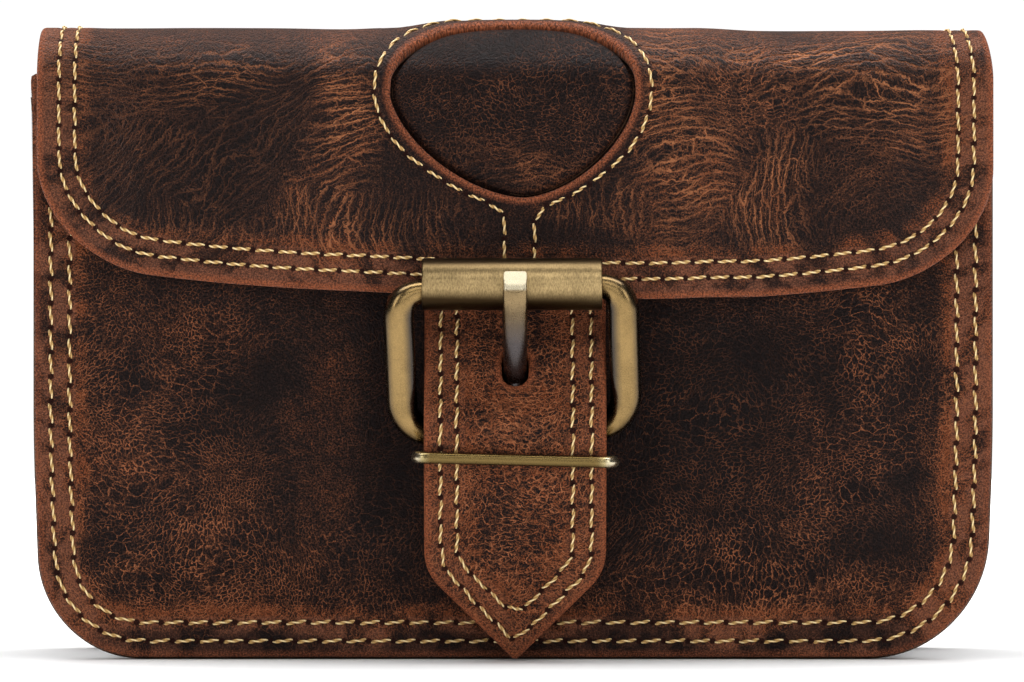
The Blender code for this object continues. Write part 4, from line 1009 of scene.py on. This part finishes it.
def flap_piece():
    outline = flap_outline()
    window = resample(oval_outline(), OUTLINE_STEP)[::-1]
    beside = 0.45 * smooth((-outline[:, 0] - 68) / 10)
    rows = [Row(inset(outline, gap + beside), lane, closed=True, pitch=4.05)
            for lane, gap in enumerate(FLAP_ROWS)]
    # The row round the window opens below and runs down to the flap's edge on both sides of the opening.
    down = window[:, 1] - WINDOW[1]
    ring = inset(window, 2.9 + 0.8 * smooth((-down - 6) / 5) - 0.8 * smooth((down - 7) / 7))
    between = (ring[:, 1] > WINDOW[1]) & (ring[:, 0] < OPEN_RIGHT) & (ring[:, 0] > OPEN_LEFT)
    first = -int(np.argmax(between))
    ring = np.roll(ring, first, axis=0)[~np.roll(between, first)]
    low = float(flap_edge(0.0)) - 0.8
    if abs(ring[0, 0] - OPEN_LEFT) < abs(ring[0, 0] - OPEN_RIGHT):
        ring = ring[::-1]
    up = [(OPEN_RIGHT, low), (OPEN_RIGHT, ring[0, 1] + 0.3)]
    back = [(OPEN_LEFT, ring[-1, 1] + 0.3), (OPEN_LEFT, low)]
    rows.append(Row(np.concatenate([up, ring, back]), 0, pitch=4.2))

    def raised(points, distance):
        """The turned band round the window."""
        gap = nearest(points, window, True)[0]
        return 0.3 * smooth(gap / 0.8) * smooth((3.4 - gap) / 1.6)

    leather_piece("back_and_flap", [outline, window], flap_place, FLAP_LEATHER, flap_leather,
                  rows, flap_traits, facing=-1, lump=-0.22, seed=11, shape=raised)
    stitches("flap_thread", rows, flap_place, thread, facing=-1, lean=-0.1, seed=8)


def patch_place(x, along):
    gap, _, side = nearest(joined(np.ravel(x), np.ravel(along)), WINDOW_EDGE, True)
    within = np.reshape(gap * side, np.shape(x)) - CLEARANCE
    under = FLAP_LEATHER + CLEARANCE
    depth = under - (under - PATCH_SUNK) * smooth(within / DOME_RUN)
    return flap_place(x, along) + normals_of(flap_place, x, along) * depth[..., None]


def patch_piece():
    outline = resample(oval_outline(PATCH_MARGIN), OUTLINE_STEP)
    leather_piece("oval_patch", [outline], patch_place, PATCH_LEATHER, patch_leather, (),
                  lambda x, along: traits_at(x, flap_place(x, along)[:, 2], PATCH_TONES, 12), facing=-1,
                  spacing=0.9, lump=-0.1, seed=15)


def strap_half(to_tip):
    half = STRAP_WIDTH / 2
    point = (half - TIP_WIDTH / 2) * math.tan(TIP_ANGLE)
    turn = math.pi / 2 - TIP_ANGLE
    below = point + TIP_SHOULDER * math.tan(turn / 2) - to_tip
    round_part = half - TIP_SHOULDER + np.sqrt(np.maximum(0, TIP_SHOULDER**2 - below**2))
    straight = TIP_WIDTH / 2 + to_tip / math.tan(TIP_ANGLE)
    return np.where(below <= 0, half, np.where(below <= TIP_SHOULDER * math.sin(turn), round_part, straight))


strap_place = strip_place(STRAP, STRAP_SHIFT)
strap_front = strip_place(STRAP, STRAP_SHIFT, STRAP_LEATHER / 2)


def strap_piece():
    fine = STRAP.length - 28  # the tip has closer points from here on
    down = np.concatenate([np.arange(0, fine, 0.9), np.arange(fine, STRAP.length, 0.3)])
    side = joined(strap_half(STRAP.length - down), down)
    tip = [(TIP_WIDTH / 2, STRAP.length), (-TIP_WIDTH / 2, STRAP.length)]
    outline = resample(np.concatenate([side, tip, side[::-1] * (-1, 1)]), 0.8)
    middle = STRAP.where(1, SLOT_FOOT) - SLOT_LENGTH / 2
    turn = np.linspace(0, 2 * math.pi, 48, endpoint=False)
    across, along = np.cos(turn) * SLOT_WIDTH / 2, np.sin(turn) * SLOT_WIDTH / 2
    run = np.sign(np.sin(turn)) * (SLOT_LENGTH - SLOT_WIDTH) / 2
    slot = resample(joined(across, middle + along + run), 0.4)[::-1]
    rows = []
    for lane, gap in enumerate(STRAP_ROWS):
        gaps = gap + (0.3 - 0.45 * lane) * smooth((-outline[:, 0] - 8) / 4)
        ring = inset(outline, gaps)
        ring = ring[nearest(ring, outline, True)[0] > gaps * 0.97]
        ring = ring[(ring[:, 1] > gap + 0.8) | (np.abs(ring[:, 0]) > STRAP_WIDTH / 2 - gap - 0.2)]
        first = int(np.argmax(np.linalg.norm(neighbours(ring)[1], axis=1)))
        rows.append(Row(np.roll(ring, -first, axis=0), lane, pitch=4.4, start=lane * 1.2))
    leather_piece("tongue_strap", [outline, slot], strap_place, STRAP_LEATHER, strap_leather,
                  rows, lambda x, along: traits_at(x, strap_place(x, along)[:, 2], STRAP_TONES, 21),
                  facing=-1, middle=True, spacing=0.9, lump=-0.1, seed=23)
    stitches("strap_thread", rows, strap_front, thread, facing=-1, seed=9)


def gusset_place_of():
    front = FRONT_Y + PANEL_LEATHER + CLEARANCE + GUSSET_LEATHER / 2
    back = BACK_Y - FLAP_LEATHER - CLEARANCE - GUSSET_LEATHER / 2
    section = Route(rounded_line(box_line(0, WEB_INSET, front, back), [0, GUSSET_BEND, GUSSET_BEND, 0]))
    outline = Route(trough(HALF_WIDTH, 0, GUSSET_HEIGHT))

    def place(along, across):
        spot = section.at(across)
        deep, depth = spot[..., 0], spot[..., 1]
        edge, heading = outline.at(along), outline.heading(along)
        share = (depth - front) / (back - front)
        weight = np.sin(math.pi * np.clip(share, 0, 1))
        mouth = smooth((edge[..., 1] - GUSSET_HEIGHT + PINCH_RUN) / PINCH_RUN)
        deep = deep + weight * (GUSSET_PINCH * mouth - GUSSET_BOW * (1 - mouth))
        x = edge[..., 0] - heading[..., 1] * deep
        z = edge[..., 1] + heading[..., 0] * deep
        near_seam = np.maximum(0, 1 - deep / WEB_INSET) * (1 - share)
        x = x + side_shift(np.sign(edge[..., 0]), z) * near_seam
        return joined(x, depth, z - MOUTH_DIP * weight * mouth)

    return place, outline.length, section.length


def gusset_piece():
    place, length, width = gusset_place_of()
    outline = resample(box_line(0, length, 0, width), 1.2)
    leather_piece("gusset", [outline], place, GUSSET_LEATHER, brown, (),
                  lambda x, w: traits_at(x - 170, w + 30, PLAIN_TONES, 31),
                  facing=-1, middle=True, spacing=1.6, seed=33)


def buckle_strap_piece():
    fold_y, foot = PIVOT_Y - FOLD_RADIUS, BUCKLE_STRAP_FOOT - PIVOT_HEIGHT
    rest = KEEPER_HEIGHT - PIVOT_HEIGHT - KEEPER_REST
    corners = [(BUCKLE_STRAP_Y, foot), (BUCKLE_STRAP_Y, FOLD_RADIUS), (fold_y, FOLD_RADIUS),
               (fold_y, -PIVOT_RADIUS / 2), (BUCKLE_STRAP_FRONT, rest), (BUCKLE_STRAP_FRONT, foot)]
    line = rounded_line([(y - PIVOT_Y, z) for y, z in corners],
                        [0, FOLD_RADIUS, FOLD_RADIUS, PIVOT_RADIUS, PIVOT_RADIUS, 0])
    route, half = Route(line), BUCKLE_STRAP_WIDTH / 2
    slot_end, slot_half = -(EYE_OUTER + CLEARANCE), PRONG_ROOT_WIDTH / 2 + EYE_SLOT_PLAY
    first = slot_end - foot
    rise = route.points[:, 1] - slot_end
    cut = int(np.where((rise[:-1] >= 0) & (rise[1:] < 0))[0][-1])
    last = float(route.lengths[cut] + rise[cut] / (rise[cut] - rise[cut + 1]) * np.diff(route.lengths)[cut])
    outline = resample(box_line(-half, half, 0, route.length), 1.2)
    slot = resample([(-slot_half, first), (-slot_half, last), (slot_half, last), (slot_half, first)], 0.8)

    def place(x, along):
        y, z = np.moveaxis(route.at(along), -1, 0)
        c, s = math.cos(FRAME_ROLL), math.sin(FRAME_ROLL)
        return joined(STRAP_SHIFT + x * c - z * s, PIVOT_Y + y, PIVOT_HEIGHT + x * s + z * c)

    leather_piece("buckle_strap", [outline, slot], place, BUCKLE_STRAP_LEATHER, strap_leather,
                  (), lambda x, w: traits_at(x, w + 20, STRAP_TONES, 41),
                  facing=-1, middle=True, spacing=1.2, seed=43)


def loop_piece(name, x, seed):
    near = BACK_Y + CLEARANCE + LOOP_LEATHER / 2
    far = BACK_Y + LOOP_GAP + LOOP_LEATHER / 2
    top = LOOP_FOOT + LOOP_HEIGHT
    corners = [(near, top), (near, top - LOOP_TAB), (far, top - LOOP_TAB - LOOP_RISE),
               (far, LOOP_FOOT + LOOP_TAB + LOOP_RISE), (near, LOOP_FOOT + LOOP_TAB), (near, LOOP_FOOT)]
    route, half = Route(rounded_line(corners, [0] + [LOOP_BEND] * 4 + [0])), LOOP_WIDTH / 2
    outline = resample(box_line(-half, half, 0, route.length), OUTLINE_STEP)
    rows = [Row([(-half + 2.4, at), (half - 2.4, at)], lane, pitch=3.8)
            for lane, gap in enumerate(LOOP_ROWS) for at in (gap, route.length - gap)]
    leather_piece(name, [outline], strip_place(route, x), LOOP_LEATHER, brown, rows,
                  lambda u, w: traits_at(u + x, w, PLAIN_TONES, seed), middle=True, spacing=1.2, seed=seed)
    outer = strip_place(route, x, -LOOP_LEATHER / 2)
    stitches(name.replace("belt_loop", "loop_thread"), rows, outer, thread, seed=seed + 5)


# Metal


def metal_object(name, points, faces, finish, patina_and_painted_light):
    obj = mesh_object(name, points, faces, finish, {"patina_and_painted_light": patina_and_painted_light}, smooth_angle=math.radians(40))
    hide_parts(name)
    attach(obj, "root")


def tube(line, radii, across, sides):
    """A closed round wire along a flat line. across is square to the line's plane."""
    ahead = unit(np.roll(line, -1, axis=0) - np.roll(line, 1, axis=0))
    outward = np.cross(ahead, across)
    angle = np.arange(sides) * 2 * math.pi / sides
    ring = np.cos(angle)[:, None] * outward[:, None] + np.sin(angle)[:, None] * np.array(across)
    return (line[:, None] + ring * radii[:, None, None]).reshape(-1, 3), ring_faces(len(line), sides, True)


def turned(section, sides):
    """A closed ring about the X axis, from its section's places along the axis and radii."""
    angle = np.arange(sides) * 2 * math.pi / sides
    points = [(x, r * math.cos(a), r * math.sin(a)) for x, r in section for a in angle]
    return np.array(points), [f[::-1] for f in ring_faces(len(section), sides, True)]


def turned_about_x(points, roll, tilt, origin):
    """Leaned forward about the X axis and then rolled in the front view."""
    place = Matrix.Rotation(-roll, 3, "Y") @ Matrix.Rotation(tilt, 3, "X")
    return np.asarray(points) @ np.array(place).T + origin


FRAME_SIDES = 28


def frame_piece():
    top_y, top_z = ROLLER_Y + BAR_BACK, ROLLER_HEIGHT - BAR_DROP
    rise, lean, half = top_z - PIVOT_HEIGHT, PIVOT_Y - top_y, FRAME_WIDTH / 2
    length = math.hypot(rise, lean)
    bends = [FRAME_LOW_CORNER] * 2 + [FRAME_TOP_CORNER] * 2
    line = round_box(-half, half, 0, length, bends, 0.7)
    lower = line[:, 1] < length / 2
    bar = np.where(lower, PIVOT_RADIUS, TOP_BAR_RADIUS)
    corner = np.where(lower, FRAME_LOW_CORNER, FRAME_TOP_CORNER)
    radii = bar + (SIDE_BAR_RADIUS - bar) * smooth((np.abs(line[:, 0]) - half + corner) / corner)
    flat = joined(line[:, 0], np.zeros(len(line)), line[:, 1])
    points, faces = tube(flat, radii, (0.0, 1.0, 0.0), FRAME_SIDES)
    centre = np.repeat(flat, FRAME_SIDES, axis=0)
    inward = unit(((0.0, 0.0, length / 2) - centre) * (1, 0, 0.6))
    facing = (inward * unit(points - centre)).sum(1)
    # Painted shade: the wire is darker on the side that faces into the frame and on its outer side.
    patina_and_painted_light = smooth((facing - 0.2) / 0.45) + 0.85 * smooth((-facing - 0.3) / 0.6)
    # The sides are a little thicker towards the opening.
    beside = smooth((np.abs(points[:, 0]) - half + 3.2) / 1.5)
    points = points + inward * (0.85 * np.clip(facing, 0, 1) * beside)[:, None] * (1, 0, 0)
    points = turned_about_x(points, FRAME_ROLL, math.atan2(lean, rise), (STRAP_SHIFT, PIVOT_Y, PIVOT_HEIGHT))
    metal_object("buckle_frame", points, faces, brass, patina_and_painted_light)


def roller_piece():
    half, inner, bevel = ROLLER_LENGTH / 2, ROLLER_RADIUS - ROLLER_WALL, 0.35
    turn = np.radians(np.linspace(0, 90, 5))
    end = [(half - bevel + bevel * math.sin(a), ROLLER_RADIUS - bevel + bevel * math.cos(a)) for a in turn]
    end += [(half - bevel + bevel * math.cos(a), inner + bevel - bevel * math.sin(a)) for a in turn]
    points, faces = turned(end + [(-x, r) for x, r in end[::-1]], 72)
    # Painted shade: the roller darkens towards its top and bottom, leaving a lit band a little above its
    # middle; it is also a little darker on its left half.
    patina_and_painted_light = 0.95 * smooth((np.abs(points[:, 2] - 0.5) / ROLLER_RADIUS - 0.1) / 0.75)
    patina_and_painted_light += 0.18 * smooth(-points[:, 0] / 5)
    points = points + (ROLLER_SHIFT, ROLLER_Y, ROLLER_HEIGHT)
    metal_object("buckle_roller", points, faces, roller_brass, patina_and_painted_light)


def prong_route():
    along = STRAP.where(1, SLOT_FOOT) - PRONG_ABOVE_SLOT
    through = STRAP.at(along)
    reach = ROLLER_RADIUS + CLEARANCE + PRONG_THICKNESS / 2
    to_roller = np.array([ROLLER_Y, ROLLER_HEIGHT]) - through
    lean = math.atan2(-to_roller[0], to_roller[1]) + math.asin(reach / np.linalg.norm(to_roller))
    front_y = ROLLER_Y - reach
    bend_z = through[1] + (through[0] - front_y) / math.tan(lean)
    root_z = through[1] - (PIVOT_Y - through[0]) / math.tan(lean)
    start = (PIVOT_Y, PIVOT_HEIGHT + (EYE_INNER + EYE_OUTER) / 2)
    return Route(rounded_line([start, (PIVOT_Y, root_z), (front_y, bend_z), (front_y, PRONG_TIP)],
                              [0, PRONG_THICKNESS, reach, 0]))


def prong_piece():
    route, sides, thick = prong_route(), 32, PRONG_THICKNESS / 2
    to_fine = np.linspace(0, route.length - 3.6, 36)
    stations = np.concatenate([to_fine, np.linspace(route.length - 3.4, route.length, 14)])
    angle = (np.arange(sides) + 0.5) * 2 * math.pi / sides
    c, s = np.cos(angle), np.sin(angle)
    rings = []
    for along in stations:
        middle, heading = route.at(along), route.heading(along)
        to_tip = route.length - along
        close = max(0.12, math.sqrt(max(0.0, 1 - (1 - min(1, to_tip / 0.5)) ** 2)))
        wide = (PRONG_ROOT_WIDTH + (PRONG_WIDTH - PRONG_ROOT_WIDTH) * (along / route.length)) / 2
        wide = wide * (1 - 0.06 * smooth(1 - to_tip / 3.4)) * (0.82 + 0.18 * close)
        root = float(smooth((62 - middle[1]) / 9))
        power = 0.62 + 0.3 * root  # the section is a rounded box at the tip and nearly round at the root
        x = wide * np.sign(c) * np.abs(c) ** power
        out = thick * np.sign(s) * np.abs(s) ** power
        out = np.where(out > 0, out * (1 + 0.65 * root), out)
        bevel = 1.3 * float(np.clip((3.5 - to_tip) / 3.5, 0, 1))
        out = np.clip(out, -thick * (0.6 + 0.4 * close), thick * (1 + 0.65 * root) - bevel)
        y, z = middle[:, None] + np.array([[-heading[1]], [heading[0]]]) * out
        rings.append(joined(x + STRAP_SHIFT, y, z))
    points = np.concatenate(rings)
    faces = ring_faces(len(rings), sides, False)
    faces += [list(range(sides))[::-1], list(range(len(points) - sides, len(points)))]
    half, bevel = PRONG_ROOT_WIDTH / 2, 0.3
    section = [(half - bevel, EYE_OUTER), (half, EYE_OUTER - bevel)]
    section += [(half, EYE_INNER + bevel), (half - bevel, EYE_INNER)]
    eye, eye_faces = turned(section + [(-x, r) for x, r in section[::-1]], 48)
    faces += [[len(points) + k for k in face] for face in eye_faces]
    points = np.concatenate([points, eye + (STRAP_SHIFT, PIVOT_Y, PIVOT_HEIGHT)])
    height = points[:, 2]
    patina_and_painted_light = 0.95 * smooth((64.0 - height) / 9) - 0.9 * smooth((height - PRONG_TIP + 3.5) / 0.5)
    metal_object("buckle_prong", points, faces, prong_brass, patina_and_painted_light)


def keeper_piece():
    back_y = BUCKLE_STRAP_Y - BUCKLE_STRAP_LEATHER / 2 - CLEARANCE - KEEPER_RADIUS
    along = STRAP.where(1, KEEPER_HEIGHT + KEEPER_RADIUS)
    lean = abs(float(STRAP.heading(along)[1]))
    front_y = float(STRAP.at(along)[0]) - (STRAP_LEATHER / 2 + CLEARANCE + KEEPER_RADIUS) / lean
    half, middle_y = STRAP_WIDTH / 2 + CLEARANCE + KEEPER_RADIUS, (front_y + back_y) / 2
    line = round_box(-half, half, front_y, back_y, [KEEPER_CORNER] * 4, 0.6)
    flat = joined(line[:, 0], line[:, 1] - middle_y, np.zeros(len(line)))
    points, faces = tube(flat, np.full(len(line), KEEPER_RADIUS), (0.0, 0.0, 1.15), 20)
    points = turned_about_x(points, KEEPER_ROLL, 0.0, (STRAP_SHIFT, middle_y, KEEPER_HEIGHT))
    # Painted highlight: the keeper's ends, where the value falls below 0, are brightened; across the strap
    # the value is 1 and the wire darker.
    patina_and_painted_light = 1.8 * smooth((STRAP_WIDTH / 2 + 1.0 - np.abs(points[:, 0])) / 2.5) - 0.8
    metal_object("keeper_loop", points, faces, keeper_brass, patina_and_painted_light)


front_piece()
flap_piece()
patch_piece()
strap_piece()
gusset_piece()
buckle_strap_piece()
loop_piece("belt_loop_left", -LOOP_SPACING / 2, 51)
loop_piece("belt_loop_right", LOOP_SPACING / 2, 61)
frame_piece()
roller_piece()
prong_piece()
keeper_piece()


# Floor, light and camera

floor_shader = Shader("pale_floor")
grey = floor_shader.noise(floor_shader.position(), 3.0, roughness=0.5)
pale = floor_shader.mix(grey, (0.93, 0.93, 0.93), (0.95, 0.95, 0.95))
floor_mesh = bpy.data.meshes.new("floor")
floor_mesh.from_pydata([(-1.3, -1.0, 0), (1.3, -1.0, 0), (1.3, 1.3, 0), (-1.3, 1.3, 0)], [], [[0, 1, 2, 3]])
floor_mesh.materials.append(floor_shader.finish(Base_Color=pale, Roughness=0.9, Specular_IOR_Level=0.1))
floor = bpy.data.objects.new("floor", floor_mesh)
bpy.context.scene.collection.objects.link(floor)


def softbox(name, place, target, wide, high, power):
    light = bpy.data.lights.new(name, "AREA")
    light.shape, light.size, light.size_y, light.energy = "RECTANGLE", wide, high, power
    obj = bpy.data.objects.new(name, light)
    bpy.context.scene.collection.objects.link(obj)
    obj.location = place
    obj.rotation_euler = (Vector(target) - Vector(place)).to_track_quat("-Z", "Y").to_euler()
    return light


BAG_MIDDLE = (0.0, 0.0, 0.05)
softbox("top_softbox", (0.0, 0.13, 0.85), BAG_MIDDLE, 1.3, 0.7, 16)
softbox("key_softbox", (0.1, -0.85, 0.82), BAG_MIDDLE, 0.9, 0.45, 2.6)
softbox("front_softbox", (0.0, -1.35, 0.33), BAG_MIDDLE, 1.0, 0.5, 2.4)
softbox("left_softbox", (-0.85, -0.75, 0.4), BAG_MIDDLE, 0.3, 0.7, 2.3)
softbox("right_softbox", (0.85, -0.75, 0.4), BAG_MIDDLE, 0.3, 0.7, 2.1)
floor_light = softbox("floor_softbox", (0.0, 1.0, 0.8), (0.0, 1.0001, 0.0), 1.0, 0.8, 7)
floor_light.spread = math.radians(80)

# The world lights the bag weakly, and the camera sees it white.
world = bpy.data.worlds.new("studio")
bpy.context.scene.world = world
world.use_nodes = True
nodes, links = world.node_tree.nodes, world.node_tree.links
weak, white = nodes["Background"], nodes.new("ShaderNodeBackground")
for backdrop, brightness in ((weak, 0.05), (white, 1.05)):
    backdrop.inputs["Color"].default_value = (1.0, 1.0, 1.0, 1.0)
    backdrop.inputs["Strength"].default_value = brightness
either = nodes.new("ShaderNodeMixShader")
sources = nodes.new("ShaderNodeLightPath").outputs["Is Camera Ray"], weak.outputs[0], white.outputs[0]
for socket, source in zip(either.inputs, sources):
    links.new(source, socket)
links.new(either.outputs[0], nodes["World Output"].inputs["Surface"])

lens = bpy.data.cameras.new("camera")
lens.sensor_width, lens.lens = 36.0, 197.95
camera = bpy.data.objects.new("camera", lens)
bpy.context.scene.collection.objects.link(camera)
camera.location = (0.00002, -1.01293, 0.05658)
camera.rotation_euler = (math.pi / 2, 0, 0)
bpy.context.scene.camera = camera
bpy.context.scene.view_settings.view_transform = "Standard"
